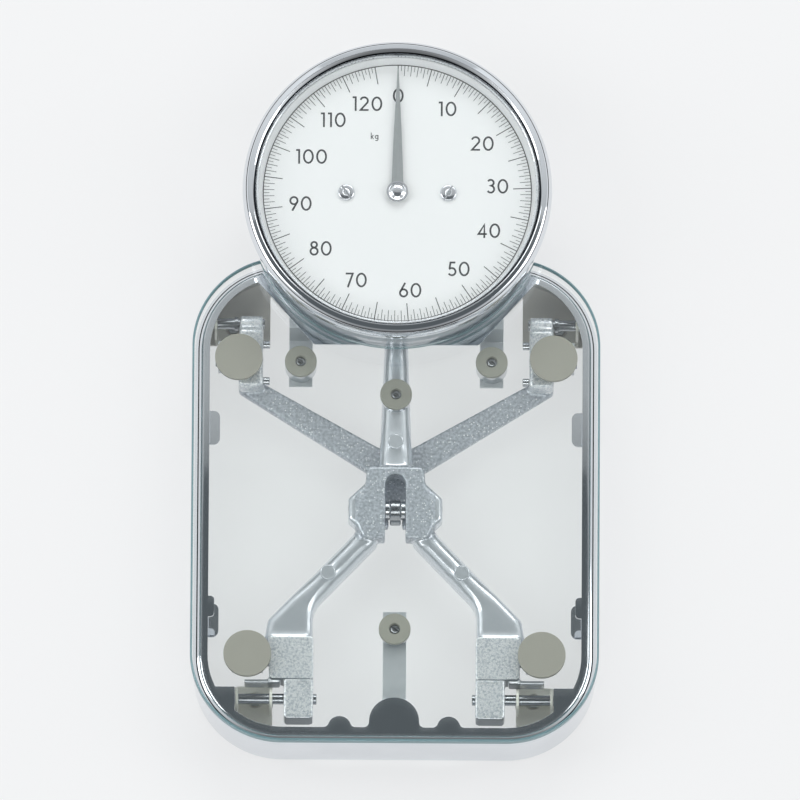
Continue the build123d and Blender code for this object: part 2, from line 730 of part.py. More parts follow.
# Cheese-head screws on the inner faces of the rear blocks
with BuildPart() as rear_block_screws:
    for screw_y in (rear_load_y + 14, rear_load_y - 14):
        add(both_sides(pin_along_x(rear_block_x[0] - 5, rear_block_x[0], screw_y, 30, 3)))
save(rear_block_screws.part, "rear_block_screws")

# Stop strips of sheet steel, cranked down from under the tongue and the centre tab
crank_run = 6.0
rear_crank_y = tongue_front_y + 14.6
front_crank_y = flange_front_y + 18.0
rear_strip_root_y = rear_crank_y + 26.0
front_strip_root_y = flange_front_y + 2
with BuildPart() as rear_stop_strips:
    for side in (-1, 1):
        with BuildSketch(Plane.YZ.offset(side * rear_strip_x - strip_half_width)):
            with BuildLine():
                Polyline(
                    (rear_strip_root_y, shell_underside),
                    (rear_strip_root_y, shell_underside - sheet),
                    (rear_crank_y, shell_underside - sheet),
                    (rear_crank_y - crank_run, rear_strip_height - sheet),
                    (rear_strip_end_y, rear_strip_height - sheet),
                    (rear_strip_end_y, rear_strip_height),
                    (rear_crank_y - crank_run - 1.5, rear_strip_height),
                    (rear_crank_y - 1.5, shell_underside),
                    close=True,
                )
            make_face()
        extrude(amount=2 * strip_half_width)
        with BuildSketch(Plane.XY.offset(rear_strip_height - sheet)):
            with Locations((side * rear_strip_x, rear_buffer_y)):
                Circle(2)
        extrude(amount=sheet, mode=Mode.SUBTRACT)
save(rear_stop_strips.part, "rear_stop_strips")

with BuildPart() as front_stop_strip:
    with BuildSketch(Plane.YZ.offset(-strip_half_width)):
        with BuildLine():
            Polyline(
                (front_strip_root_y, shell_underside),
                (front_strip_root_y, shell_underside - sheet),
                (front_crank_y, shell_underside - sheet),
                (front_crank_y + crank_run, front_strip_height - sheet),
                (front_strip_end_y, front_strip_height - sheet),
                (front_strip_end_y, front_strip_height),
                (front_crank_y + crank_run + 1, front_strip_height),
                (front_crank_y + 1, shell_underside),
                close=True,
            )
        make_face()
    extrude(amount=2 * strip_half_width)
    with BuildSketch(Plane.XY.offset(front_strip_height - sheet)):
        with Locations((0, front_buffer_y)):
            Circle(2)
    extrude(amount=sheet, mode=Mode.SUBTRACT)
save(front_stop_strip.part, "front_stop_strip")

# Stop buffers: turned discs, counterbored for their screws
buffer_bore_radius = 4.0
buffer_bore_depth = 4.0
stop_places = [(side * rear_strip_x, rear_buffer_y, rear_strip_height) for side in (-1, 1)]
stop_places += [(0, front_buffer_y, front_strip_height)]


def buffer_disc(x, y, seat):
    """Buffer disc from its seat up to just under the glass."""
    with BuildPart() as disc:
        with BuildSketch(Plane.XY.offset(seat)):
            with Locations((x, y)):
                Circle(buffer_radius)
                Circle(2, mode=Mode.SUBTRACT)
        extrude(amount=buffer_top - seat)
        chamfer(disc.edges().filter_by(GeomType.CIRCLE).sort_by(Edge.length)[-1:], 0.6)
        with BuildSketch(Plane.XY.offset(buffer_top)):
            with Locations((x, y)):
                Circle(buffer_bore_radius)
        extrude(amount=-buffer_bore_depth, mode=Mode.SUBTRACT)
    return disc.part


def buffer_screw(x, y, seat, depth):
    """Slotted cheese-head screw down through a buffer disc."""
    head_seat = buffer_top - buffer_bore_depth
    with BuildPart() as screw:
        with BuildSketch(Plane.XY.offset(seat - depth)):
            with Locations((x, y)):
                Circle(2)
        extrude(amount=head_seat - seat + depth)
        with BuildSketch(Plane.XY.offset(head_seat)):
            with Locations((x, y)):
                Circle(3.4)
        extrude(amount=2.4)
        with BuildSketch(Plane.XY.offset(head_seat + 2.4)):
            with Locations((x, y)):
                Rectangle(7, 1)
        extrude(amount=-1.2, mode=Mode.SUBTRACT)
    return screw.part


with BuildPart() as stop_buffers:
    for place in stop_places:
        add(buffer_disc(*place))
save(stop_buffers.part, "stop_buffers")

with BuildPart() as stop_screws:
    for place in stop_places:
        add(buffer_screw(*place, depth=5))
save(stop_screws.part, "stop_screws")

with BuildPart() as beam_buffer:
    add(buffer_disc(0, beam_buffer_y, beam_top))
save(beam_buffer.part, "beam_buffer")

with BuildPart() as beam_buffer_screw:
    add(buffer_screw(0, beam_buffer_y, beam_top, depth=9))
save(beam_buffer_screw.part, "beam_buffer_screw")

# Drum of the dial head, standing on the tongue
with BuildPart() as dial_housing:
    with BuildSketch(Plane.XY.offset(shell_top)):
        with Locations((0, dial_y)):
            Circle(housing_radius)
    extrude(amount=housing_top - shell_top)
    fillet(dial_housing.edges().group_by(Axis.Z)[0], 3)
    with BuildSketch(Plane.XY.offset(floor_top)):
        with Locations((0, dial_y)):
            Circle(housing_radius - housing_sheet)
    extrude(amount=housing_top - floor_top, mode=Mode.SUBTRACT)
    with BuildSketch(Plane.XY.offset(shell_top)):
        with Locations((0, beam_nose_y)):
            Rectangle(2 * window_half_width, window_depth)
        with Locations((0, zero_y)):
            Circle(3.3)
        with Locations(*head_screw_places):
            Circle(head_screw_radius)
        with Locations((0, crank_slot_middle_y)):
            Rectangle(2 * crank_slot_half_width, crank_slot_length)
    extrude(amount=housing_sheet, mode=Mode.SUBTRACT)
save(dial_housing.part, "dial_housing")

# Screws and nuts that hold the drum on the tongue
with BuildPart() as head_screws:
    for screw_x, screw_y in head_screw_places:
        with BuildSketch(Plane.XY.offset(shell_underside - 5)):
            with Locations((screw_x, screw_y)):
                Circle(head_screw_radius)
        extrude(amount=floor_top + 1 - shell_underside + 5)
        with BuildSketch(Plane.XY.offset(floor_top)):
            with Locations((screw_x, screw_y)):
                Circle(4.5)
        extrude(amount=2.8)
        with BuildSketch(Plane.XY.offset(shell_underside)):
            with Locations((screw_x, screw_y)):
                RegularPolygon(4.6, 6)
        extrude(amount=-3.5)
save(head_screws.part, "head_screws")

# Base plate of the movement, with the two lugs of the bell crank
lug_x = 5.0
lug_thickness = 3.0
movement_rear_y = dial_y + 26.9
post_rows = (movement_front_y + 5, dial_y - 15.1, dial_y + 18.9)
post_places = [(side * 18, y) for side in (-1, 1) for y in post_rows]
movement_sheet = 2.0
movement_floor = floor_top + movement_sheet
crank_shaft_radius = 2.0
with BuildPart() as movement_base:
    with BuildSketch(Plane.XY.offset(floor_top)):
        with Locations((0, (movement_front_y + movement_rear_y) / 2)):
            RectangleRounded(84, movement_rear_y - movement_front_y, 4)
        with Locations((0, crank_slot_middle_y)):
            Rectangle(2 * crank_slot_half_width, crank_slot_length, mode=Mode.SUBTRACT)
    extrude(amount=movement_sheet)
    for start_x in (-lug_x - lug_thickness, lug_x):
        with BuildSketch(Plane.YZ.offset(start_x)):
            with Locations((crank_pivot_y, (movement_floor + crank_pivot_z) / 2)):
                Rectangle(8, crank_pivot_z - movement_floor)
            with Locations((crank_pivot_y, crank_pivot_z)):
                Circle(4)
            with Locations((crank_pivot_y, floor_top - 5)):
                Rectangle(20, 10, mode=Mode.SUBTRACT)
            with Locations((crank_pivot_y, crank_pivot_z)):
                Circle(crank_shaft_radius, mode=Mode.SUBTRACT)
        extrude(amount=lug_thickness)
save(movement_base.part, "movement_base")

# Shaft of the bell crank, held in the two lugs
with BuildPart() as crank_shaft:
    add(
        pin_along_x(
            -lug_x - lug_thickness, lug_x + lug_thickness, crank_pivot_y, crank_pivot_z, crank_shaft_radius
        )
    )
save(crank_shaft.part, "crank_shaft")

mid_plate_bottom = 68.0
top_plate_bottom = 82.5

# Turned posts between the plates of the movement
with BuildPart() as movement_posts:
    with BuildSketch(Plane.XY.offset(movement_floor)):
        with Locations(*post_places):
            Circle(post_radius)
    extrude(amount=top_plate_bottom - movement_floor)
save(movement_posts.part, "movement_posts")

# Middle plate with the lower bearing of the pinion
shaft_radius = 1.5
rack_x = (3.7, 9.0)
rack_bottom = 74.0
rack_top = 80.0
with BuildPart() as movement_mid_plate:
    with BuildSketch(Plane.XY.offset(mid_plate_bottom)):
        with Locations((0, (post_rows[1] + post_rows[2]) / 2)):
            RectangleRounded(2 * plate_half_width, post_rows[2] - post_rows[1] + 12, 3)
        with Locations(*post_places):
            Circle(post_radius, mode=Mode.SUBTRACT)
        with Locations((0, dial_y)):
            Circle(shaft_radius + running_gap, mode=Mode.SUBTRACT)
    extrude(amount=movement_sheet)
save(movement_mid_plate.part, "movement_mid_plate")

# Angled guide behind and under the rack, standing on the middle plate
guide_length = 28.0
guide_sheet = 2.0
guide_inside_x = rack_x[1] + side_gap
ledge_inside_x = rack_x[0] + side_gap
mid_plate_top = mid_plate_bottom + movement_sheet
with BuildPart() as rack_guide:
    with BuildSketch(Plane.XY.offset(mid_plate_top)):
        with Locations((guide_inside_x + guide_sheet / 2, dial_y)):
            Rectangle(guide_sheet, guide_length)
    extrude(amount=top_plate_bottom - mid_plate_top)
    with BuildSketch(Plane.XY.offset(mid_plate_top)):
        with Locations(((ledge_inside_x + guide_inside_x) / 2, dial_y)):
            Rectangle(guide_inside_x - ledge_inside_x, guide_length)
    extrude(amount=rack_bottom - running_gap - mid_plate_top)
save(rack_guide.part, "rack_guide")

# Top plate with the upper bearing, slotted for the bell crank
top_plate_rear_y = post_rows[2] + 6
with BuildPart() as movement_top_plate:
    with BuildSketch(Plane.XY.offset(top_plate_bottom)):
        with Locations((0, (movement_front_y + top_plate_rear_y) / 2)):
            RectangleRounded(2 * plate_half_width, top_plate_rear_y - movement_front_y, 3)
        with Locations((0.5, crank_pivot_y + 6)):
            Rectangle(9, 32, mode=Mode.SUBTRACT)
        with Locations((0, dial_y)):
            Circle(shaft_radius + running_gap, mode=Mode.SUBTRACT)
    extrude(amount=movement_sheet)
save(movement_top_plate.part, "movement_top_plate")

# Bell crank that turns the fall of the crosshead into the run of the rack
crank_x = (-1.0, 2.0)
crank_arm_radius = 3.4
slot_radius = small_pin_radius + free_gap
cos_half = math.cos(math.radians(crank_half_angle))
sin_half = math.sin(math.radians(crank_half_angle))
input_slot = input_reach * (1 / cos_half - 1) + 0.4
input_middle = input_reach * (1 + 1 / cos_half) / 2
output_slot = output_height * (1 / cos_half - 1) + 0.4
output_middle = output_height * (1 + 1 / cos_half) / 2
crank_plane = Plane(
    origin=(crank_x[0], crank_pivot_y, crank_pivot_z), x_dir=(0, cos_half, -sin_half), z_dir=(1, 0, 0)
)
hub_plane = Plane(origin=(-4.6, crank_pivot_y, crank_pivot_z), x_dir=(0, 1, 0), z_dir=(1, 0, 0))
with BuildPart() as bell_crank:
    with BuildSketch(crank_plane):
        with Locations((-input_middle / 2, 0)):
            Rectangle(input_middle, 2 * crank_arm_radius)
        with Locations((0, output_middle / 2)):
            Rectangle(2 * crank_arm_radius, output_middle)
        with Locations((-input_middle, 0)):
            SlotCenterToCenter(input_slot, 2 * crank_arm_radius)
        with Locations((0, output_middle)):
            SlotCenterToCenter(output_slot, 2 * crank_arm_radius, rotation=90)
        with Locations((-input_middle, 0)):
            SlotCenterToCenter(input_slot, 2 * slot_radius, mode=Mode.SUBTRACT)
        with Locations((0, output_middle)):
            SlotCenterToCenter(output_slot, 2 * slot_radius, rotation=90, mode=Mode.SUBTRACT)
    extrude(amount=crank_x[1] - crank_x[0])
    with BuildSketch(hub_plane):
        Circle(4.2)
    extrude(amount=9.2)
    with BuildSketch(hub_plane):
        Circle(crank_shaft_radius + running_gap)
    extrude(amount=9.2, mode=Mode.SUBTRACT)
save(bell_crank.part, "bell_crank")

# Crosshead between the two springs, with the pin that works the bell crank
spring_hole_radius = spring_wire_radius + free_gap
with BuildPart() as crosshead:
    with BuildSketch(Plane.XY.offset(crosshead_bottom)):
        with Locations((0, beam_nose_y)):
            RectangleRounded(48, 10, 3)
        with Locations((-spring_x, beam_nose_y), (spring_x, beam_nose_y)):
            Circle(spring_hole_radius, mode=Mode.SUBTRACT)
    extrude(amount=crosshead_top - crosshead_bottom)
    with BuildSketch(Plane.YZ.offset(2.8)):
        with Locations((beam_nose_y, (crosshead_top + crank_pin_z) / 2)):
            Rectangle(6, crank_pin_z - crosshead_top)
        with Locations((beam_nose_y, crank_pin_z)):
            Circle(3)
    extrude(amount=3)
    with BuildSketch(Plane.YZ.offset(-2.2)):
        with Locations((beam_nose_y, crank_pin_z)):
            Circle(small_pin_radius)
    extrude(amount=5)
save(crosshead.part, "crosshead")

# Strip that hangs from the crosshead and hooks over the pin of the beam
strip_half = 2.8
with BuildPart() as pull_strip:
    with BuildSketch(Plane.YZ.offset(-strip_half)):
        with Locations((beam_nose_y, (crosshead_bottom + nose_pin_z) / 2)):
            Rectangle(10, crosshead_bottom - nose_pin_z)
        with Locations((beam_nose_y, nose_pin_z)):
            Circle(5)
            Circle(beam_pin_radius + free_gap, mode=Mode.SUBTRACT)
    extrude(amount=2 * strip_half)
save(pull_strip.part, "pull_strip")

# Toothed rack, with the pin for the bell crank at its front end
tooth_pitch = math.pi * gear_module
tooth_addendum = 0.4
tooth_flank_root = 0.36
tooth_flank_tip = 0.16
rack_front_y = rack_pin_y - 4.0
rack_rear_y = dial_y + rack_travel + 4.0
rack_tooth_count = int((rack_travel + 4.0) / tooth_pitch)
rack_tip_x = pinion_radius - tooth_addendum
with BuildPart() as rack:
    with BuildSketch(Plane.XY.offset(rack_bottom)):
        with Locations(((rack_x[0] + rack_x[1]) / 2, (rack_front_y + rack_rear_y) / 2)):
            Rectangle(rack_x[1] - rack_x[0], rack_rear_y - rack_front_y)
        for index in range(-1, rack_tooth_count):
            tooth_y = dial_y + index * tooth_pitch
            with BuildLine():
                Polyline(
                    (rack_x[0] + 0.1, tooth_y - tooth_flank_root),
                    (rack_tip_x, tooth_y - tooth_flank_tip),
                    (rack_tip_x, tooth_y + tooth_flank_tip),
                    (rack_x[0] + 0.1, tooth_y + tooth_flank_root),
                    close=True,
                )
            make_face()
    extrude(amount=rack_top - rack_bottom)
    add(pin_along_x(-2.2, rack_x[0] + 1, rack_pin_y, rack_pin_z, small_pin_radius))
save(rack.part, "rack")

# Pinion and its shaft, turned and cut in one
pinion_bottom = rack_bottom + 0.5
pinion_top = rack_top - 0.5
shaft_top = dial_top + 4.7
with BuildPart() as pinion_shaft:
    with BuildSketch(Plane((0, dial_y, pinion_bottom))):
        Circle(pinion_radius - 0.6)
        with PolarLocations(0, pinion_teeth, start_angle=180 / pinion_teeth):
            Polygon(
                (pinion_radius - 0.9, -tooth_flank_root),
                (pinion_radius + tooth_addendum, -tooth_flank_tip),
                (pinion_radius + tooth_addendum, tooth_flank_tip),
                (pinion_radius - 0.9, tooth_flank_root),
                align=None,
            )
    extrude(amount=pinion_top - pinion_bottom)
    with BuildSketch(Plane.XY.offset(mid_plate_bottom - 2)):
        with Locations((0, dial_y)):
            Circle(shaft_radius)
    extrude(amount=shaft_top - mid_plate_bottom + 2)
save(pinion_shaft.part, "pinion_shaft")

# Zero yoke, a ring lever that holds the springs in front and the zero screw behind
yoke_pivot_y = dial_y - 29.1
yoke_rear_y = zero_y + 4.0
yoke_front_y = beam_nose_y - 4.0
yoke_pin_z = (yoke_bottom + yoke_top) / 2
with BuildPart() as zero_yoke:
    with BuildSketch(Plane.XY.offset(yoke_bottom)):
        with Locations((0, (yoke_front_y + yoke_rear_y) / 2)):
            RectangleRounded(2 * yoke_arm_x[1], yoke_rear_y - yoke_front_y, 3)
        with Locations((0, (yoke_front_y + yoke_rear_y) / 2)):
            Rectangle(2 * yoke_arm_x[0], yoke_rear_y - yoke_front_y - 16, mode=Mode.SUBTRACT)
        with Locations((0, zero_y)):
            Circle(3 + running_gap, mode=Mode.SUBTRACT)
        with Locations((-spring_x, beam_nose_y), (spring_x, beam_nose_y)):
            Circle(spring_wire_radius, mode=Mode.SUBTRACT)
    extrude(amount=yoke_top - yoke_bottom)
    with BuildSketch(Plane.YZ.offset(-60)):
        with Locations((yoke_pivot_y, yoke_pin_z)):
            Circle(small_pin_radius)
    extrude(amount=120, mode=Mode.SUBTRACT)
save(zero_yoke.part, "zero_yoke")

# Side brackets and pins on which the yoke rocks
bracket_x = (31.5, 34.0)
with BuildPart() as yoke_brackets:
    for side in (-1, 1):
        start_x = bracket_x[0] if side > 0 else -bracket_x[1]
        with BuildSketch(Plane.YZ.offset(start_x)) as profile:
            with Locations((yoke_pivot_y, (movement_floor + yoke_top) / 2)):
                Rectangle(12, yoke_top - movement_floor)
            fillet(profile.vertices().group_by(Axis.Z)[-1], 3)
            with Locations((yoke_pivot_y, yoke_pin_z)):
                Circle(small_pin_radius, mode=Mode.SUBTRACT)
        extrude(amount=bracket_x[1] - bracket_x[0])
save(yoke_brackets.part, "yoke_brackets")

with BuildPart() as yoke_pins:
    pin_ends = (yoke_arm_x[0], bracket_x[1] + 1)
    add(both_sides(pin_along_x(*pin_ends, yoke_pivot_y, yoke_pin_z, small_pin_radius, 0.2)))
save(yoke_pins.part, "yoke_pins")


def spring_path(x):
    """Centre line of one spring: its coil, hooked in at both ends to a straight shank on the axis."""
    shank = 3.5
    bend = 1.8
    low = crosshead_top + shank
    high = yoke_bottom - shank
    hook_radius = (spring_coil_radius**2 - bend**2) / (2 * spring_coil_radius)
    hook_angle = math.pi - math.atan(bend / hook_radius)
    hook_x = x + spring_coil_radius - hook_radius

    def coil_point(turn):
        angle = 2 * math.pi * turn
        return (
            x + spring_coil_radius * math.cos(angle),
            beam_nose_y + spring_coil_radius * math.sin(angle),
            low + (high - low) * turn / spring_turns,
        )

    def hook_point(share, z, side):
        angle = side * hook_angle * share
        return (hook_x + hook_radius * math.cos(angle), beam_nose_y + hook_radius * math.sin(angle), z)

    def bend_point(z, side):
        end_x, end_y, _ = hook_point(1, z, side)
        run = math.sin(math.radians(45))
        return (
            end_x + (x - end_x) * run,
            end_y + (beam_nose_y - end_y) * run,
            z + side * bend * (1 - run),
        )

    with BuildLine() as path:
        Line((x, beam_nose_y, crosshead_bottom - 3), (x, beam_nose_y, low - bend))
        ThreePointArc((x, beam_nose_y, low - bend), bend_point(low, -1), hook_point(1, low, -1))
        ThreePointArc(hook_point(1, low, -1), hook_point(0.5, low, -1), coil_point(0))
        for quarter in range(4 * spring_turns):
            turn = quarter / 4
            ThreePointArc(coil_point(turn), coil_point(turn + 0.125), coil_point(turn + 0.25))
        ThreePointArc(coil_point(spring_turns), hook_point(0.5, high, 1), hook_point(1, high, 1))
        ThreePointArc(hook_point(1, high, 1), bend_point(high, 1), (x, beam_nose_y, high + bend))
        Line((x, beam_nose_y, high + bend), (x, beam_nose_y, yoke_top + nut_height))
    return path.wire()


def least_gap(wire, samples=700, apart=8.0):
    """Least clear distance between stretches of a wire that lie further apart than given along it."""
    spots = [wire @ (index / samples) for index in range(samples + 1)]
    skip = int(apart / wire.length * samples)
    least = min(
        (spots[first] - spots[second]).length
        for first in range(samples + 1)
        for second in range(first + skip, samples + 1)
    )
    return least - 2 * spring_wire_radius


# Two extension springs between the crosshead and the yoke
for name, x in (("spring_left", -spring_x), ("spring_right", spring_x)):
    wire = spring_path(x)
    with BuildPart() as spring:
        with BuildSketch(Plane(origin=wire @ 0, z_dir=wire % 0)):
            Circle(spring_wire_radius)
        sweep(path=wire, transition=Transition.TRANSFORMED)
    print(name, "least gap between turns", round(least_gap(wire), 2))
    save(spring.part, name)

# Nuts crimped on the spring ends, above the yoke and under the crosshead
with BuildPart() as spring_top_nuts:
    with BuildSketch(Plane.XY.offset(yoke_top)):
        with Locations((-spring_x, beam_nose_y), (spring_x, beam_nose_y)):
            RegularPolygon(3, 6)
            Circle(spring_wire_radius, mode=Mode.SUBTRACT)
    extrude(amount=nut_height)
save(spring_top_nuts.part, "spring_top_nuts")

with BuildPart() as spring_bottom_nuts:
    with BuildSketch(Plane.XY.offset(crosshead_bottom - 2.5)):
        with Locations((-spring_x, beam_nose_y), (spring_x, beam_nose_y)):
            RegularPolygon(3, 6)
            Circle(spring_wire_radius + free_gap, mode=Mode.SUBTRACT)
    extrude(amount=2.5)
save(spring_bottom_nuts.part, "spring_bottom_nuts")

# Knurled zero knob under the head, on its screw
knob_radius = 14.0
knob_bottom = 37.0
knob_top = 47.0
knurl_count = 30
with BuildPart() as zero_knob:
    with BuildSketch(Plane((0, zero_y, knob_bottom))):
        Circle(knob_radius)
        with PolarLocations(knob_radius + 0.3, knurl_count):
            Circle(0.9, mode=Mode.SUBTRACT)
        Circle(3, mode=Mode.SUBTRACT)
    extrude(amount=knob_top - knob_bottom)
    with BuildSketch(Plane((0, zero_y, knob_top))):
        Circle(6)
        Circle(3, mode=Mode.SUBTRACT)
    extrude(amount=shell_top - knob_top - 0.5)
save(zero_knob.part, "zero_knob")

with BuildPart() as zero_screw:
    with BuildSketch(Plane((0, zero_y, knob_bottom))):
        Circle(3)
    extrude(amount=yoke_top + nut_height + 0.2 - knob_bottom)
save(zero_screw.part, "zero_screw")

with BuildPart() as zero_nut:
    with BuildSketch(Plane((0, zero_y, yoke_top))):
        RegularPolygon(5.5, 6)
        Circle(3 + running_gap, mode=Mode.SUBTRACT)
    extrude(amount=nut_height)
save(zero_nut.part, "zero_nut")

# Ring inside the drum on which the dial plate rests
dial_bottom = dial_top - dial_sheet
inner_radius = housing_radius - housing_sheet
with BuildPart() as dial_seat:
    with BuildSketch(Plane((0, dial_y, dial_bottom - 2.5))):
        Circle(inner_radius)
        Circle(inner_radius - 4, mode=Mode.SUBTRACT)
    extrude(amount=2.5)
save(dial_seat.part, "dial_seat")

# Dial plate of sheet aluminium
dial_screw_x = 37.6
shaft_hole_radius = 4.0
with BuildPart() as dial_plate:
    with BuildSketch(Plane((0, dial_y, dial_bottom))):
        Circle(inner_radius - dial_gap)
        Circle(shaft_hole_radius, mode=Mode.SUBTRACT)
        with Locations((-dial_screw_x, 0), (dial_screw_x, 0)):
            Circle(2, mode=Mode.SUBTRACT)
    extrude(amount=dial_sheet)
save(dial_plate.part, "dial_plate")

# Posts from the floor of the drum up to the dial plate
with BuildPart() as dial_posts:
    with BuildSketch(Plane((0, dial_y, movement_floor))):
        with Locations((-dial_screw_x, 0), (dial_screw_x, 0)):
            Circle(3.6)
    extrude(amount=dial_bottom - movement_floor)
    with BuildSketch(Plane((0, dial_y, dial_bottom - 8))):
        with Locations((-dial_screw_x, 0), (dial_screw_x, 0)):
            Circle(2)
    extrude(amount=8, mode=Mode.SUBTRACT)
save(dial_posts.part, "dial_posts")

# Slotted chrome screws that hold the dial plate
with BuildPart() as dial_screws:
    with BuildSketch(Plane((0, dial_y, dial_bottom - 8))):
        with Locations((-dial_screw_x, 0), (dial_screw_x, 0)):
            Circle(2)
    extrude(amount=8 + dial_sheet)
    with BuildSketch(Plane((0, dial_y, dial_top))):
        with Locations((-dial_screw_x, 0), (dial_screw_x, 0)):
            Circle(6.2)
    extrude(amount=2.6)
    fillet(dial_screws.edges().group_by(Axis.Z)[-1], 1.4)
    with BuildSketch(Plane((0, dial_y, dial_top + 2.6))):
        with Locations((-dial_screw_x, 0, 0), (dial_screw_x, 0, 0)):
            Rectangle(14, 1.3, rotation=65)
    extrude(amount=-1.3, mode=Mode.SUBTRACT)
save(dial_screws.part, "dial_screws")

# Light reveal ring between the dial and the crystal
with BuildPart() as dial_ring:
    with BuildSketch(Plane.XZ.offset(-dial_y)):
        with BuildLine():
            Polyline(
                (dial_window_radius, dial_top),
                (bezel_inner_radius - 1, crystal_bottom - gasket_thickness),
                (housing_radius, crystal_bottom - gasket_thickness),
                (housing_radius, housing_top),
                (inner_radius, housing_top),
                (inner_radius, dial_top),
                close=True,
            )
        make_face()
    revolve(axis=Axis((0, dial_y, 0), (0, 0, 1)))
save(dial_ring.part, "dial_ring")

# Rubber gasket under the crystal
with BuildPart() as crystal_gasket:
    with BuildSketch(Plane((0, dial_y, crystal_bottom - gasket_thickness))):
        Circle(housing_radius)
        Circle(bezel_inner_radius, mode=Mode.SUBTRACT)
    extrude(amount=gasket_thickness)
save(crystal_gasket.part, "crystal_gasket")

# Glass crystal over the dial
with BuildPart() as dial_crystal:
    with BuildSketch(Plane((0, dial_y, crystal_bottom))):
        Circle(housing_radius)
    extrude(amount=crystal_thickness)
save(dial_crystal.part, "dial_crystal")

# Spun bezel, pushed over the top of the drum
crystal_top = crystal_bottom + crystal_thickness
with BuildPart() as bezel:
    with BuildSketch(Plane.XZ.offset(-dial_y)):
        with BuildLine():
            Line((housing_radius, crystal_top), (housing_radius, bezel_bottom))
            Line((housing_radius, bezel_bottom), (bezel_radius - 2, bezel_bottom))
            ThreePointArc(
                (bezel_radius - 2, bezel_bottom),
                (bezel_radius, bezel_bottom + 6.5),
                (bezel_radius - 2.6, bezel_top - 1.6),
            )
            ThreePointArc(
                (bezel_radius - 2.6, bezel_top - 1.6),
                (bezel_radius - 4.4, bezel_top),
                (bezel_radius - 6.4, bezel_top - 1.4),
            )
            Line((bezel_radius - 6.4, bezel_top - 1.4), (bezel_inner_radius, crystal_top))
            Line((bezel_inner_radius, crystal_top), (housing_radius, crystal_top))
        make_face()
    revolve(axis=Axis((0, dial_y, 0), (0, 0, 1)))
save(bezel.part, "bezel")

# Pointer of sheet aluminium, from the hub to the edge of the scale
pointer_bottom = dial_top + 3.2
pointer_length = 95.0
with BuildPart() as pointer:
    with BuildSketch(Plane((0, dial_y, pointer_bottom))):
        Circle(7)
        Polygon(
            (-4.4, 0), (-2.7, 50), (-0.4, pointer_length), (0.4, pointer_length), (2.7, 50), (4.4, 0),
            align=None,
        )
        Circle(shaft_radius, mode=Mode.SUBTRACT)
    extrude(amount=0.8)
save(pointer.part, "pointer")

# Turned cap over the hub of the pointer
with BuildPart() as pointer_cap:
    with BuildSketch(Plane.XZ.offset(-dial_y)):
        with BuildLine():
            Polyline(
                (0, shaft_top), (0, shaft_top + 1.6), (3, shaft_top + 1.6), (4.5, shaft_top + 0.6),
                (8, shaft_top - 0.2), (8, pointer_bottom + 0.8), (shaft_radius, pointer_bottom + 0.8),
                (shaft_radius, shaft_top),
                close=True,
            )
        make_face()
    revolve(axis=Axis((0, dial_y, 0), (0, 0, 1)))
save(pointer_cap.part, "pointer_cap")
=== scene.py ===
import json
import math

import bpy
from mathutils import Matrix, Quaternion, Vector

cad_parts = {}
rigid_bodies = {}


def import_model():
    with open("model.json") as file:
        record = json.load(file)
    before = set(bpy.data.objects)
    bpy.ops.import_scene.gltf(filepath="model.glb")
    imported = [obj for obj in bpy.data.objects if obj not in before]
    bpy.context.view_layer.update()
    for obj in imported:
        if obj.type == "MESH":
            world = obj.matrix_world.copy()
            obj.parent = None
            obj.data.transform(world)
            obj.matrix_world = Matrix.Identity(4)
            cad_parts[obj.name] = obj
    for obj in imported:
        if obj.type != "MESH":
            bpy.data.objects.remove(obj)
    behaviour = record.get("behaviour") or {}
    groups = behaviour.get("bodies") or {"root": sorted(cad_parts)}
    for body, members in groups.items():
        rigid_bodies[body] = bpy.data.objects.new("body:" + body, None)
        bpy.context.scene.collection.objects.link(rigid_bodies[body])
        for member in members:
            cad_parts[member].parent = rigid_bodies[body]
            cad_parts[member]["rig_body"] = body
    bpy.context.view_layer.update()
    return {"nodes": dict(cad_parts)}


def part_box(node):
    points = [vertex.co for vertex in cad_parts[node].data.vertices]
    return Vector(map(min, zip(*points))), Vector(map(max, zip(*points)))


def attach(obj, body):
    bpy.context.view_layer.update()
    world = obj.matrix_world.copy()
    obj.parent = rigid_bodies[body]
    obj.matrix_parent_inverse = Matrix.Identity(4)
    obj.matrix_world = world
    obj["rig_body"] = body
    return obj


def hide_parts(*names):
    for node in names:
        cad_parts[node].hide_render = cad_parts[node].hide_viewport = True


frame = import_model()
nodes = frame["nodes"]
bpy.ops.object.select_all(action="DESELECT")

# Camera: almost straight above the scale and leaning a little to the front, with a very long lens,
# because the photograph shows the sides of the platform without convergence.
photo_width_px = 800
lens_px = 30000
mm_per_px = 0.735
camera_tilt = math.radians(17.1)
camera_roll = math.radians(0.36)
camera_aim = Vector((0.0029, -0.0019, 0.062))
camera_distance = lens_px * mm_per_px / 1000
camera_place = camera_aim + camera_distance * Vector(
    (0, -math.sin(camera_tilt), math.cos(camera_tilt))
)
bpy.ops.object.camera_add(location=camera_place)
camera = bpy.context.object
camera.name = "photo_camera"
camera.rotation_mode = "QUATERNION"
camera.rotation_quaternion = Quaternion((1, 0, 0), camera_tilt) @ Quaternion((0, 0, 1), camera_roll)
camera.data.sensor_width = 36
camera.data.lens = 36 * lens_px / photo_width_px
camera.data.clip_end = 50
bpy.context.scene.camera = camera
bpy.context.scene.view_settings.view_transform = "Standard"


# Floor: a seamless sheet of pale paper. It glows a little to the camera and in reflections,
# so the background stays even, and still takes the soft shadow of the scale.
def srgb(hex_code):
    """Linear RGBA of an sRGB hex colour."""
    values = [int(hex_code[i:i + 2], 16) / 255 for i in (1, 3, 5)]
    return [v / 12.92 if v <= 0.04045 else ((v + 0.055) / 1.055) ** 2.4 for v in values] + [1.0]


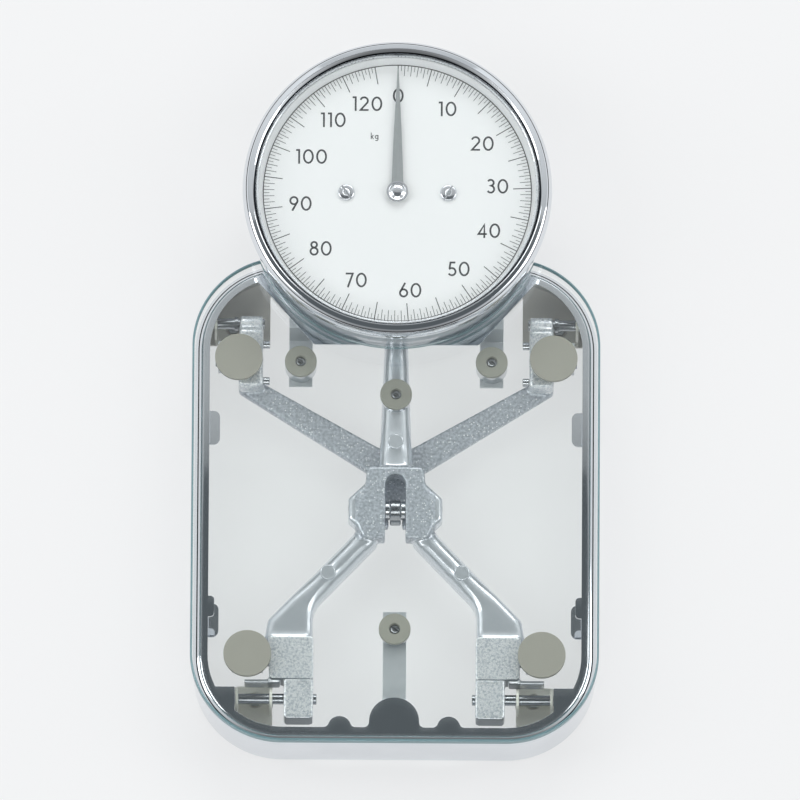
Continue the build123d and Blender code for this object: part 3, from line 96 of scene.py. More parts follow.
def add_node(tree, kind, links=None, **settings):
    """A shader node with its settings and input values, joined to the sockets named in links."""
    node = tree.nodes.new(kind)
    for key, value in settings.items():
        if key.startswith("in_"):
            name = key[3:].replace("_", " ")
            node.inputs[int(name) if name.isdigit() else name].default_value = value
        else:
            setattr(node, key, value)
    for name, socket in (links or {}).items():
        tree.links.new(socket, node.inputs[name])
    return node


def new_material(name):
    """An empty node material, its node tree and its output node."""
    material = bpy.data.materials.new(name)
    material.use_nodes = True
    tree = material.node_tree
    tree.nodes.clear()
    return material, tree, add_node(tree, "ShaderNodeOutputMaterial")


def noise_on(tree, scale, detail):
    """A noise texture that stays fixed to the piece."""
    where = add_node(tree, "ShaderNodeTexCoord")
    return add_node(
        tree, "ShaderNodeTexNoise", {"Vector": where.outputs["Object"]}, in_Scale=scale,
        in_Detail=detail,
    )


def tone_between(tree, marks, dark_hex, light_hex):
    """A colour that runs from dark to light with a texture."""
    return add_node(
        tree, "ShaderNodeMix", {"Factor": marks.outputs["Fac"]}, data_type="RGBA",
        in_6=srgb(dark_hex), in_7=srgb(light_hex),
    )


paper, tree, out = new_material("pale_backdrop_paper")
ray = add_node(tree, "ShaderNodeLightPath")
seen = add_node(
    tree, "ShaderNodeMath", {0: ray.outputs["Is Camera Ray"], 1: ray.outputs["Is Glossy Ray"]},
    operation="MAXIMUM"
)
seen = add_node(
    tree, "ShaderNodeMath", {0: seen.outputs[0], 1: ray.outputs["Is Transmission Ray"]},
    operation="MAXIMUM"
)
glow_share = 0.68
part_lit = add_node(
    tree, "ShaderNodeMath", {0: seen.outputs[0]}, operation="MULTIPLY", in_1=glow_share
)
glow = add_node(tree, "ShaderNodeEmission", in_Color=srgb("#F3F4F5"), in_Strength=1.0)
grain = noise_on(tree, 900.0, 2.0)
paper_tone = tone_between(tree, grain, "#EDEEEF", "#F2F3F3")
matte = add_node(tree, "ShaderNodeBsdfDiffuse", {"Color": paper_tone.outputs[2]})
lit_paper = add_node(
    tree, "ShaderNodeMixShader",
    {"Fac": part_lit.outputs[0], 1: matte.outputs[0], 2: glow.outputs[0]},
)
tree.links.new(lit_paper.outputs[0], out.inputs["Surface"])
bpy.ops.mesh.primitive_plane_add(size=14, location=(0, 0, -0.0002))
floor = bpy.context.object
floor.name = "studio_floor"
floor.data.materials.append(paper)

# Light: soft boxes behind, in front and at both sides, in a pale room. In reflections the room is
# dark up to table height, bright at the walls, dim overhead and dimmer still in front, as the
# chrome in the photograph shows it, and the front and rear boxes don't mirror.
room = bpy.data.worlds.new("photo_room")
bpy.context.scene.world = room
room.use_nodes = True
tree = room.node_tree
tree.nodes.clear()
where = add_node(tree, "ShaderNodeTexCoord")
height = add_node(tree, "ShaderNodeSeparateXYZ", {"Vector": where.outputs["Generated"]})
walls = add_node(tree, "ShaderNodeValToRGB", {"Fac": height.outputs["Z"]})
walls.color_ramp.elements[0].color = srgb("#1F2226")
walls.color_ramp.elements[1].color = srgb("#5F6467")
for place, tone in (
    (0.25, "#24272B"), (0.30, "#E8EBED"), (0.48, "#F4F5F6"), (0.70, "#E2E5E7"), (0.78, "#BCC0C3"),
    (0.88, "#7E8386"), (0.94, "#5F6467"),
):
    walls.color_ramp.elements.new(place).color = srgb(tone)
front_dim = add_node(
    tree, "ShaderNodeMapRange", {"Value": height.outputs["Y"]},
    in_From_Min=-0.85, in_From_Max=-0.35, in_To_Min=0.22, in_To_Max=1.0,
)
ray = add_node(tree, "ShaderNodeLightPath")
room_fill = add_node(tree, "ShaderNodeBackground", in_Color=srgb("#F4F5F7"), in_Strength=0.36)
room_seen = add_node(
    tree, "ShaderNodeBackground",
    {"Color": walls.outputs["Color"], "Strength": front_dim.outputs[0]},
)
both = add_node(
    tree, "ShaderNodeMixShader",
    {"Fac": ray.outputs["Is Glossy Ray"], 1: room_fill.outputs[0], 2: room_seen.outputs[0]}
)
add_node(tree, "ShaderNodeOutputWorld", {"Surface": both.outputs[0]})


def soft_box(name, place, width, depth, watts, mirrored=True):
    """A rectangular soft box at a place, turned to face the scale."""
    bpy.ops.object.light_add(type="AREA", location=place)
    lamp = bpy.context.object
    lamp.name = name
    lamp.data.shape = "RECTANGLE"
    lamp.data.size = width
    lamp.data.size_y = depth
    lamp.data.energy = watts
    lamp.visible_glossy = mirrored
    lamp.rotation_mode = "QUATERNION"
    lamp.rotation_quaternion = (-Vector(place)).to_track_quat("-Z", "Y")


soft_box("soft_box_rear", (0.2, 2.1, 1.9), 2.4, 1.2, 27, mirrored=False)
soft_box("soft_box_front", (0.0, -2.0, 1.9), 2.4, 1.0, 17.5, mirrored=False)
soft_box("soft_box_left", (-1.9, -0.1, 1.7), 1.2, 2.0, 20.5)
soft_box("soft_box_right", (1.9, 0.0, 1.7), 1.2, 2.0, 17)

# Overhead panel: a wide white panel hangs flat above and behind. Its near edge fades, so chrome and
# glass turn from dark at the front of the scale to pale at the rear.
panel_height = 2.0
panel_near_y = 0.54
panel_depth = 1.3
panel_fade = 0.08
bpy.ops.object.light_add(type="AREA", location=(0, panel_near_y + panel_depth / 2, panel_height))
panel = bpy.context.object
panel.name = "overhead_panel"
panel.data.shape = "RECTANGLE"
panel.data.size = 2.2
panel.data.size_y = panel_depth
panel.data.energy = 3.3
panel.data.use_nodes = True
tree = panel.data.node_tree
lit = tree.nodes["Emission"]
spot = add_node(tree, "ShaderNodeNewGeometry")
across = add_node(tree, "ShaderNodeSeparateXYZ", {"Vector": spot.outputs["Position"]})
fade = add_node(
    tree, "ShaderNodeMapRange", {"Value": across.outputs["Y"]},
    in_From_Min=panel_near_y, in_From_Max=panel_near_y + panel_fade, in_To_Min=0.4, in_To_Max=1.0,
)
tree.links.new(fade.outputs[0], lit.inputs["Strength"])

# Pressed base: one deep-drawn tray of sheet steel, upside down and chrome plated. Its top is opened
# up to a narrow flange with round tabs, corner gussets and, behind, the tongue for the dial head.
mm = 0.001


def apply_modifier(piece, kind, **settings):
    """Adds one modifier to a piece and applies it."""
    bpy.context.view_layer.objects.active = piece
    modifier = piece.modifiers.new(kind.lower(), kind)
    for key, value in settings.items():
        setattr(modifier, key, value)
    bpy.ops.object.modifier_apply(modifier=modifier.name)


def select_only(piece):
    """Makes a piece the one that is selected and active."""
    bpy.ops.object.select_all(action="DESELECT")
    piece.select_set(True)
    bpy.context.view_layer.objects.active = piece


def finish_mesh(piece, smooth_deg=35):
    """Puts a piece's place in its mesh, welds it, faces it outwards and smooths its round parts."""
    select_only(piece)
    bpy.ops.object.transform_apply(location=True, rotation=True, scale=True)
    bpy.ops.object.mode_set(mode="EDIT")
    bpy.ops.mesh.select_all(action="SELECT")
    bpy.ops.mesh.remove_doubles(threshold=1e-6)
    bpy.ops.mesh.delete_loose()
    bpy.ops.mesh.select_all(action="SELECT")
    bpy.ops.mesh.normals_make_consistent(inside=False)
    bpy.ops.object.mode_set(mode="OBJECT")
    bpy.ops.object.shade_smooth_by_angle(angle=math.radians(smooth_deg))
    apply_modifier(piece, "WEIGHTED_NORMAL", keep_sharp=True, weight=60)
    return piece


def take_place(piece, material, slot, *node_names):
    """Gives a piece its finish and lets it ride and stand for its nodes."""
    if material:
        piece.data.materials.clear()
        piece.data.materials.append(material)
    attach(piece, nodes[node_names[0]]["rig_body"])
    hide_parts(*node_names)


def welded_copy(node_name, piece_name):
    """A welded copy of a node's mesh, its flat faces cleared of their triangles."""
    piece = bpy.data.objects.new(piece_name, nodes[node_name].data.copy())
    piece.data.materials.clear()
    bpy.context.scene.collection.objects.link(piece)
    select_only(piece)
    bpy.ops.mesh.customdata_custom_splitnormals_clear()
    bpy.ops.object.mode_set(mode="EDIT")
    bpy.ops.mesh.select_all(action="SELECT")
    bpy.ops.mesh.remove_doubles(threshold=1e-6)
    bpy.ops.mesh.normals_make_consistent(inside=False)
    bpy.ops.mesh.dissolve_limited(angle_limit=math.radians(0.4))
    bpy.ops.object.mode_set(mode="OBJECT")
    return piece


def made_piece(node_name, piece_name, material, slot, edge_mm=0.3):
    """A node's shape with its sharp edges broken, as the stamped or sawn piece has them."""
    piece = welded_copy(node_name, piece_name)
    if edge_mm:
        apply_modifier(
            piece, "BEVEL", width=edge_mm * mm, segments=2, limit_method="ANGLE",
            angle_limit=math.radians(50)
        )
    finish_mesh(piece, 32)
    take_place(piece, material, slot, node_name)
    return piece


# Chrome plate over the buffed metal of base, bezel and turned parts: a mirror, a shade darker than
# silver, with the faint waviness that the press leaves, some 25 mm long and some microns deep.
bright_chrome, tree, out = new_material("bright_chrome_plate")
waviness = noise_on(tree, 40.0, 2.0)
buffing = noise_on(tree, 260.0, 3.0)
haze = add_node(
    tree, "ShaderNodeMapRange", {"Value": buffing.outputs["Fac"]}, in_To_Min=0.02, in_To_Max=0.06
)
plate_tone = tone_between(tree, waviness, "#DCE0E4", "#E6E9ED")
wave_bump = add_node(
    tree, "ShaderNodeBump", {"Height": waviness.outputs["Fac"]}, in_Strength=1.0,
    in_Distance=0.00001,
)
chrome = add_node(
    tree, "ShaderNodeBsdfPrincipled",
    {
        "Base Color": plate_tone.outputs[2], "Roughness": haze.outputs[0],
        "Normal": wave_bump.outputs[0],
    },
    in_Metallic=1.0,
)
tree.links.new(chrome.outputs[0], out.inputs["Surface"])
made_piece("base_shell", "chromed_base", bright_chrome, "chrome_sheet", 0.6)


# Foot plates, foot screws and saddles: stamped from sheet steel and zinc plated in a barrel, which
# leaves a grey shine with small cloudy marks, duller and warmer on the big corner plates. They are
# spot-welded, screwed or hung in place.
def metal_finish(
    name, dark_hex, light_hex, rough, cloud_mm, dent_um=0.0, stretch=(1, 1, 1), metallic=1.0
):
    """A metal whose tone and shine change a little from mark to mark, with dents if it has them."""
    material, tree, out = new_material(name)
    where = add_node(tree, "ShaderNodeTexCoord")
    lay = add_node(tree, "ShaderNodeMapping", {"Vector": where.outputs["Object"]}, in_Scale=stretch)
    marks = add_node(
        tree, "ShaderNodeTexNoise", {"Vector": lay.outputs[0]}, in_Scale=1000 / cloud_mm,
        in_Detail=4.0,
    )
    tone = tone_between(tree, marks, dark_hex, light_hex)
    shine = add_node(
        tree, "ShaderNodeMapRange", {"Value": marks.outputs["Fac"]}, in_To_Min=rough * 0.75,
        in_To_Max=rough * 1.25
    )
    metal = add_node(
        tree, "ShaderNodeBsdfPrincipled",
        {"Base Color": tone.outputs[2], "Roughness": shine.outputs[0]}, in_Metallic=metallic
    )
    if dent_um:
        dents = add_node(
            tree, "ShaderNodeBump", {"Height": marks.outputs["Fac"]}, in_Strength=1.0,
            in_Distance=dent_um / 1e6,
        )
        tree.links.new(dents.outputs[0], metal.inputs["Normal"])
    tree.links.new(metal.outputs[0], out.inputs["Surface"])
    return material


zinc_plate = metal_finish(
    "zinc_plated_sheet_steel", "#C4C9CD", "#DADDE0", 0.32, 6.0, 25, metallic=0.55
)
for node_name in ("foot_screws", "bearing_saddles"):
    made_piece(node_name, "zinc_" + node_name, zinc_plate, "zinc_plated_steel")
dull_zinc = metal_finish(
    "dull_zinc_plated_plate", "#D3CFC8", "#E2DFD9", 0.45, 12.0, 20, metallic=0.2
)
made_piece("foot_plates", "zinc_foot_plates", dull_zinc, "zinc_plated_steel")


# Feet: turned from black rubber, each with a slight taper and a counterbore for its screw. Rubber
# is matt, with a skin of fine pores, drawn here at 1 mm because real ones are too fine to see.
def moulded_finish(name, dark_hex, light_hex, rough, grain_mm, dent_um):
    """A plastic or rubber with a fine grain in its tone and surface."""
    material, tree, out = new_material(name)
    grain = noise_on(tree, 1000 / grain_mm, 3.0)
    tone = tone_between(tree, grain, dark_hex, light_hex)
    shine = add_node(
        tree, "ShaderNodeMapRange", {"Value": grain.outputs["Fac"]}, in_To_Min=rough * 0.9,
        in_To_Max=rough * 1.1
    )
    pores = add_node(
        tree, "ShaderNodeBump", {"Height": grain.outputs["Fac"]}, in_Strength=1.0,
        in_Distance=dent_um / 1e6,
    )
    skin = add_node(
        tree, "ShaderNodeBsdfPrincipled",
        {"Base Color": tone.outputs[2], "Roughness": shine.outputs[0], "Normal": pores.outputs[0]},
    )
    tree.links.new(skin.outputs[0], out.inputs["Surface"])
    return material


black_rubber = moulded_finish("moulded_black_rubber", "#141414", "#222222", 0.75, 1.0, 30)
made_piece("rubber_feet", "turned_rubber_feet", black_rubber, "black_rubber", 0)

# Bearing brackets: folded from sheet steel and nickel plated, a little yellow beside the zinc. Each
# carries a fulcrum pin between its cheeks and is riveted to its corner plate.
nickel_plate = metal_finish("dull_nickel_plate", "#EDEAE0", "#FAF8F0", 0.34, 9.0, 30, metallic=0.12)
for node_name in ("front_brackets", "rear_brackets"):
    made_piece(node_name, "folded_" + node_name, nickel_plate, "bracket_plate")

# Levers: cast in aluminium in a metal mould. The hub and the blocks keep the grain of the mould's
# rough faces, while the arms and the beam come out smooth and are tumbled to a soft shine. The
# grainy finishes carry white specks painted in their colour as glints, and the front faces of the
# blocks a darker copy of the casting, which is painted shade.
smooth_casting = metal_finish(
    "tumbled_die_cast_aluminium", "#DADEE4", "#EAEDF2", 0.19, 2.4, 9, metallic=0.62
)


def grainy_casting(name, dark_hex, light_hex, grain_mm, glint_mm, glint_share, depth_um, rough):
    """Cast aluminium with a dull grain, and white specks painted in its colour as glints of facets.
    """
    material, tree, out = new_material(name)
    grain = noise_on(tree, 1000 / grain_mm, 3.0)
    ground = add_node(tree, "ShaderNodeValToRGB", {"Fac": grain.outputs["Fac"]})
    ground.color_ramp.elements[0].position = 0.36
    ground.color_ramp.elements[0].color = srgb(dark_hex)
    ground.color_ramp.elements[1].position = 0.64
    ground.color_ramp.elements[1].color = srgb(light_hex)
    where = add_node(tree, "ShaderNodeTexCoord")
    # Painted glints: cells of a Voronoi pattern, picked at random, turn near white in the colour.
    glint_cells = add_node(
        tree, "ShaderNodeTexVoronoi", {"Vector": where.outputs["Object"]}, in_Scale=1000 / glint_mm
    )
    glint_picked = add_node(
        tree, "ShaderNodeMath", {0: glint_cells.outputs["Color"]}, operation="GREATER_THAN",
        in_1=1 - glint_share,
    )
    inside = add_node(
        tree, "ShaderNodeMath", {0: glint_cells.outputs["Distance"]}, operation="LESS_THAN", in_1=0.40
    )
    painted_glint = add_node(
        tree, "ShaderNodeMath", {0: glint_picked.outputs[0], 1: inside.outputs[0]}, operation="MULTIPLY"
    )
    tone = add_node(
        tree, "ShaderNodeMix", {"Factor": painted_glint.outputs[0], 6: ground.outputs["Color"]},
        data_type="RGBA", in_7=srgb("#FAFBFC")
    )
    relief = add_node(
        tree, "ShaderNodeBump", {"Height": grain.outputs["Fac"]}, in_Strength=1.0,
        in_Distance=depth_um / 1e6,
    )
    metal = add_node(
        tree, "ShaderNodeBsdfPrincipled",
        {"Base Color": tone.outputs[2], "Normal": relief.outputs[0]},
        in_Metallic=0.5, in_Roughness=rough,
    )
    tree.links.new(metal.outputs[0], out.inputs["Surface"])
    return material


# Both grainy finishes carry painted glints, the coarse one on most of its cells.
fine_casting = grainy_casting(
    "fine_grained_die_cast_aluminium", "#A9AEB6", "#D1D5DC", 2.0, 1.4, 0.24, 40, 0.36
)
coarse_casting = grainy_casting(
    "coarse_grained_die_cast_aluminium", "#CACFD6", "#FAFBFD", 1.9, 1.6, 0.74, 200, 0.28
)
# Painted shade: a darker copy of the casting, put on the front faces of the blocks.
painted_shade_flank_casting = metal_finish(
    "die_cast_aluminium_painted_shade_flank", "#7C8287", "#989DA2", 0.42, 1.8, 40, metallic=0.5
)


def box_middle(node_name):
    """The middle of a node's box."""
    low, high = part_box(node_name)
    return (Vector(low) + Vector(high)) / 2


link_middle = box_middle("link_shackle")
load_pin_y = box_middle("front_load_pins").y


def eased(value, start, end):
    """0 before start, 1 after end and an even curve between them."""
    way = min(1.0, max(0.0, (value - start) / (end - start)))
    return way * way * (3 - 2 * way)


def round_fall(share):
    """How far a round back has fallen at a share of its half width."""
    return 1 - math.sqrt(1 - min(abs(share), 0.97) ** 2)


def cast_piece(node_name, piece_name, voxel_mm, soft_reaches, crowned=None):
    """A node's shape with the soft edges of a casting, softer still along some reaches of Y."""
    piece = welded_copy(node_name, piece_name)
    apply_modifier(piece, "REMESH", mode="VOXEL", voxel_size=voxel_mm * mm, use_smooth_shade=True)
    if crowned:
        for vertex in piece.data.vertices:
            vertex.co.z = crowned(vertex.co)
    apply_modifier(piece, "SMOOTH", factor=0.5, iterations=4)
    rounded = piece.vertex_groups.new(name="rounded_arms")
    for low, high in soft_reaches:
        rounded.add([v.index for v in piece.data.vertices if low < v.co.y < high], 1.0, "ADD")
    apply_modifier(piece, "SMOOTH", factor=0.5, iterations=24, vertex_group="rounded_arms")
    for material in (smooth_casting, fine_casting, coarse_casting, painted_shade_flank_casting):
        piece.data.materials.append(material)
    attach(piece, nodes[node_name]["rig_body"])
    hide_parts(node_name)
    return piece


arm_reach = (load_pin_y + 17.5 * mm, link_middle.y - 25 * mm)
beam_reach = (link_middle.y + 34 * mm, box_middle("beam_pin").y - 12 * mm)
hub_half_width = 29.5 * mm
hub_reach = (-24.5 * mm, 32.5 * mm)
block_reach = 16.3 * mm
block_half_width = (59 * mm, 92.6 * mm)
arm_root = Vector((19.6, -99.5)) * mm
arm_way = Vector((67.2, -71.5)).normalized()
arm_half_width = 9.2 * mm
arm_limit = 11 * mm
arm_start, arm_full = 5 * mm, 9 * mm
arm_fade, arm_end = 46 * mm, 78 * mm
arm_base = 24.0 * mm
arm_crown = 0.34
beam_half_width = 12.2 * mm
beam_limit = 14 * mm
beam_taper = 0.048
beam_base = 32.0 * mm
beam_crown = 0.4


def crowned_lever(spot):
    """Height of a point of the main lever once its arms and beam have a round back."""
    off_root = Vector((abs(spot.x), spot.y)) - arm_root
    along = off_root.dot(arm_way)
    aside = off_root.x * arm_way.y - off_root.y * arm_way.x
    beam_start = beam_reach[0] - 4 * mm
    if spot.y > beam_start and abs(spot.x) < beam_limit:
        share = eased(spot.y, beam_start, beam_reach[0] + 6 * mm)
        half_width = beam_half_width - beam_taper * (spot.y - beam_reach[0])
        fall = beam_crown * share * round_fall(spot.x / half_width)
        return beam_base + (spot.z - beam_base) * (1 - fall)
    if arm_start < along < arm_end and abs(aside) < arm_limit:
        share = eased(along, arm_start, arm_full) * (1 - eased(along, arm_fade, arm_end))
        fall = arm_crown * share * round_fall(aside / arm_half_width)
        return arm_base + (spot.z - arm_base) * (1 - fall)
    return spot.z


fine_index, coarse_index, painted_shade_index = 1, 2, 3
main_lever = cast_piece(
    "main_lever", "cast_main_lever", 1.0, (arm_reach, beam_reach), crowned_lever
)
for face in main_lever.data.polygons:
    spot = face.center
    in_hub = abs(spot.x) < hub_half_width and hub_reach[0] < spot.y - link_middle.y < hub_reach[1]
    beside_middle = block_half_width[0] < abs(spot.x) < block_half_width[1]
    in_block = spot.y < load_pin_y + block_reach and beside_middle
    if in_block:
        # The blocks' front faces take the painted shade, their other faces the coarse finish with
        # painted glints.
        face.material_index = painted_shade_index if face.normal.y < -0.6 else coarse_index
    elif in_hub and face.normal.z > -0.5:
        face.material_index = fine_index


# Ejector marks: the flat round lands that the mould's pins leave proud of the main lever's arms and
# beam. They are part of the casting and keep its soft shine, with a bright worn edge.
def turned_piece(name, outline, foot, along, steps=64, closed=False):
    """Spins an outline of (radius, distance along) pairs, in mm, about the line from a foot."""
    foot = Vector(foot)
    along = Vector(along).normalized()
    outward = along.orthogonal().normalized()
    points = [foot + (outward * radius + along * way) * mm for radius, way in outline]
    joins = [(i, i + 1) for i in range(len(points) - 1)]
    if closed:
        joins.append((len(points) - 1, 0))
    mesh = bpy.data.meshes.new(name)
    mesh.from_pydata(points, joins, [])
    piece = bpy.data.objects.new(name, mesh)
    bpy.context.scene.collection.objects.link(piece)
    select_only(piece)
    bpy.ops.object.mode_set(mode="EDIT")
    bpy.ops.mesh.select_all(action="SELECT")
    bpy.ops.mesh.spin(steps=steps, angle=2 * math.pi, center=foot, axis=along)
    bpy.ops.object.mode_set(mode="OBJECT")
    return finish_mesh(piece)


def joined(pieces, name):
    """Joins like pieces into one object."""
    bpy.ops.object.select_all(action="DESELECT")
    for piece in pieces:
        piece.select_set(True)
    bpy.context.view_layer.objects.active = pieces[0]
    bpy.ops.object.join()
    pieces[0].name = name
    return pieces[0]


mark_radius = 5.9
mark_places = ((-49.2, -129.5, 43.6), (49.2, -129.5, 43.6), (0.0, -29.0, 44.8))
marks = []
for x, y, top in mark_places:
    marks.append(
        turned_piece(
            "mark",
            [
                (0, top - 3.5), (mark_radius, top - 3.5), (mark_radius, top - 0.4),
                (mark_radius - 0.25, top - 0.05), (mark_radius - 0.5, top),
                (mark_radius - 0.75, top - 0.05), (mark_radius - 1.0, top - 0.3), (0, top - 0.3),
            ],
            (x * mm, y * mm, 0), (0, 0, 1), 64,
        )
    )
ejector_marks = joined(marks, "ejector_marks")
ejector_marks.data.materials.append(smooth_casting)
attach(ejector_marks, nodes["main_lever"]["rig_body"])

# Rear lever: a V cast like the main lever, coarse on top of its two blocks and fine elsewhere. It
# passes under the beam and hangs by its nose in the link.
rear_block_x = 97.5 * mm
rear_block_floor = 27 * mm
rear_lever = cast_piece("rear_lever", "cast_rear_lever", 0.9, ())
for face in rear_lever.data.polygons:
    on_block = abs(face.center.x) > rear_block_x and face.center.z > rear_block_floor
    face.material_index = coarse_index if on_block else fine_index

# Pins: cut from ground steel rod, with broken ends, and pressed into the castings. Grinding leaves
# fine lines round them, drawn 0.5 mm apart. The link between the levers is the same steel.
ground_steel = metal_finish(
    "ground_steel_rod", "#8E9296", "#BCC0C3", 0.20, 0.5, 10, (3.0, 0.3, 0.3)
)
for node_name in (
    "front_fulcrum_pins", "front_load_pins", "cross_pin", "beam_pin", "rear_fulcrum_pins",
    "rear_load_pins", "rear_nose_pin", "link_shackle", "crank_shaft", "yoke_pins", "zero_screw",
):
    made_piece(node_name, "ground_" + node_name, ground_steel, "pin_steel", 0.2)

# Collars and block screws: turned from bright bar and left blank, so they shine like the chrome.
# The collars sit on the cross pin and keep the link in the middle of the hub's slot.
bright_steel = metal_finish("turned_bright_steel", "#BDC1C5", "#DDE0E2", 0.10, 1.2, 8)
for node_name in ("link_collars", "rear_block_screws"):
    made_piece(node_name, "turned_" + node_name, bright_steel, "bright_steel", 0.3)

# Pads: four discs of beige-grey plastic, glued under the glass over the load pins. Seen through the
# glass they are quite flat and even; the grain of the mould is drawn at 1.5 mm.
pad_plastic = moulded_finish("moulded_beige_grey_plastic", "#9F9D94", "#A4A299", 0.6, 1.5, 6)
pad_radius = 17.5 * mm
pad_low, pad_high = (Vector(corner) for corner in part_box("platform_pads"))
front_pad_x = 108.0 * mm
front_pad_y = pad_low.y + pad_radius
rear_pad_x = pad_high.x - pad_radius
rear_pad_shift = 2.5 * mm
rear_pad_y = pad_high.y - pad_radius - rear_pad_shift
pads = []
for x, y in (
    (-front_pad_x, front_pad_y), (front_pad_x, front_pad_y), (-rear_pad_x, rear_pad_y),
    (rear_pad_x, rear_pad_y),
):
    bpy.ops.mesh.primitive_cylinder_add(
        vertices=96, radius=pad_radius, depth=pad_high.z - pad_low.z,
        location=(x, y, (pad_low.z + pad_high.z) / 2)
    )
    pad = bpy.context.object
    bpy.ops.object.transform_apply(location=True, rotation=True, scale=True)
    bpy.ops.object.mode_set(mode="EDIT")
    bpy.ops.mesh.select_all(action="DESELECT")
    bpy.ops.mesh.select_mode(type="FACE")
    bpy.ops.object.mode_set(mode="OBJECT")
    for face in pad.data.polygons:
        face.select = abs(face.normal.z) > 0.9
    bpy.ops.object.mode_set(mode="EDIT")
    bpy.ops.mesh.inset(thickness=0.3 * mm, depth=0)
    bpy.ops.mesh.bevel(offset=0.25 * mm, segments=2)
    bpy.ops.object.mode_set(mode="OBJECT")
    pads.append(finish_mesh(pad))
take_place(joined(pads, "glued_pads"), pad_plastic, "buffer_plastic", "platform_pads")

# Stop strips: zinc plated steel, cranked down from the tongue and the centre tab. They hold the
# buffers that keep the glass from tipping.
for node_name in ("rear_stop_strips", "front_stop_strip"):
    made_piece(node_name, "cranked_" + node_name, zinc_plate, "zinc_plated_steel")

# Buffers: a turned steel cup with a plastic disc pressed in its top, counterbored for a cheese-head
# screw. Two stand on the rear strips, one on the front strip and one on the beam.
buffer_radius = 11.6
disc_thickness = 3.0
bore_radius = 4.0
bore_depth = 4.0
stops_low, stops_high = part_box("stop_buffers")
buffer_top = stops_high[2] / mm
rear_seat = stops_low[2] / mm
front_strip_rise = 6.0
front_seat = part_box("front_stop_strip")[0][2] / mm + front_strip_rise
cup_steel = metal_finish("turned_steel_cup", "#B4B9BD", "#D5D8DB", 0.14, 1.0, 6)
slotted_zinc = metal_finish("bright_zinc_screw", "#8F9396", "#BEC2C5", 0.22, 1.0, 8)


def cut_slot(screw, place, size_mm, turn_deg):
    """Mills a straight slot across the head of a screw."""
    bpy.ops.mesh.primitive_cube_add(size=1, location=place)
    cutter = bpy.context.object
    cutter.scale = [side * mm for side in size_mm]
    cutter.rotation_euler = (0, 0, math.radians(turn_deg))
    bpy.ops.object.transform_apply(location=True, rotation=True, scale=True)
    apply_modifier(screw, "BOOLEAN", operation="DIFFERENCE", object=cutter, solver="EXACT")
    bpy.data.objects.remove(cutter)
    return finish_mesh(screw, 30)


def buffer_pieces(place, seat):
    """Cup, disc and screw of one buffer, from its seat up to just under the glass."""
    foot = (place.x, place.y, 0)
    disc_bottom = buffer_top - disc_thickness
    cup = turned_piece(
        "cup",
        [
            (2.0, seat), (buffer_radius - 0.3, seat), (buffer_radius, seat + 0.3),
            (buffer_radius, disc_bottom), (2.0, disc_bottom),
        ],
        foot, (0, 0, 1), 72, closed=True,
    )
    edge = 0.5
    bore_floor = buffer_top - bore_depth
    disc = turned_piece(
        "disc",
        [
            (bore_radius, disc_bottom), (buffer_radius + 0.1, disc_bottom),
            (buffer_radius + 0.1, buffer_top - edge), (buffer_radius - 0.1, buffer_top - 0.15),
            (buffer_radius - edge, buffer_top), (bore_radius + edge, buffer_top),
            (bore_radius, buffer_top - edge),
        ],
        foot, (0, 0, 1), 72, closed=True,
    )
    head_top = bore_floor + 2.2
    screw = turned_piece(
        "screw",
        [
            (0, head_top - 4), (3.4, head_top - 4), (3.4, head_top - 0.5), (3.0, head_top - 0.1),
            (2.6, head_top), (0, head_top),
        ],
        foot, (0, 0, 1), 32,
    )
    return cup, disc, cut_slot(screw, (place.x, place.y, head_top * mm), (9, 1.0, 2.0), -35)


stop_x = stops_high[0] - buffer_radius * mm
rear_y = stops_high[1] - buffer_radius * mm
front_y = stops_low[1] + buffer_radius * mm
stops = [
    buffer_pieces(Vector((-stop_x, rear_y)), rear_seat),
    buffer_pieces(Vector((stop_x, rear_y)), rear_seat),
    buffer_pieces(Vector((0, front_y)), front_seat),
]
take_place(
    joined([stop[0] for stop in stops], "stop_cups"), cup_steel, "bright_steel", "stop_buffers"
)
take_place(
    joined([stop[1] for stop in stops], "stop_discs"), pad_plastic, "buffer_plastic", "stop_buffers"
)
take_place(
    joined([stop[2] for stop in stops], "stop_cup_screws"), slotted_zinc, "bright_steel",
    "stop_screws",
)
beam_stop = buffer_pieces(box_middle("beam_buffer"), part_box("beam_buffer")[0][2] / mm)
for piece, name in zip(beam_stop, ("beam_cup", "beam_disc", "beam_cup_screw")):
    piece.name = name
take_place(beam_stop[0], cup_steel, "bright_steel", "beam_buffer")
take_place(beam_stop[1], pad_plastic, "buffer_plastic", "beam_buffer")
take_place(beam_stop[2], slotted_zinc, "bright_steel", "beam_buffer_screw")


# Platform: one sheet of clear toughened glass with ground edges, cut back in a circle round the
# head. It is colourless through its thickness and sea green where the eye looks along it, and its
# matt edge draws a grey-green line round it.
def clear_pane(name, tint_hex, density, through_hex):
    """Clear glass, tinted along its length, which lets lamp and bounced light straight through."""
    material, tree, out = new_material(name)
    ray = add_node(tree, "ShaderNodeLightPath")
    glass = add_node(
        tree, "ShaderNodeBsdfPrincipled", in_Roughness=0.0, in_IOR=1.5, in_Transmission_Weight=1.0,
        in_Base_Color=(1, 1, 1, 1),
    )
    tint = add_node(tree, "ShaderNodeVolumeAbsorption", in_Color=srgb(tint_hex), in_Density=density)
    let_through = add_node(tree, "ShaderNodeBsdfTransparent", in_Color=srgb(through_hex))
    lets_light = add_node(
        tree, "ShaderNodeMath", {0: ray.outputs["Is Shadow Ray"], 1: ray.outputs["Is Diffuse Ray"]},
        operation="MAXIMUM",
    )
    pane = add_node(
        tree, "ShaderNodeMixShader",
        {"Fac": lets_light.outputs[0], 1: glass.outputs[0], 2: let_through.outputs[0]},
    )
    tree.links.new(pane.outputs[0], out.inputs["Surface"])
    tree.links.new(tint.outputs[0], out.inputs["Volume"])
    return material


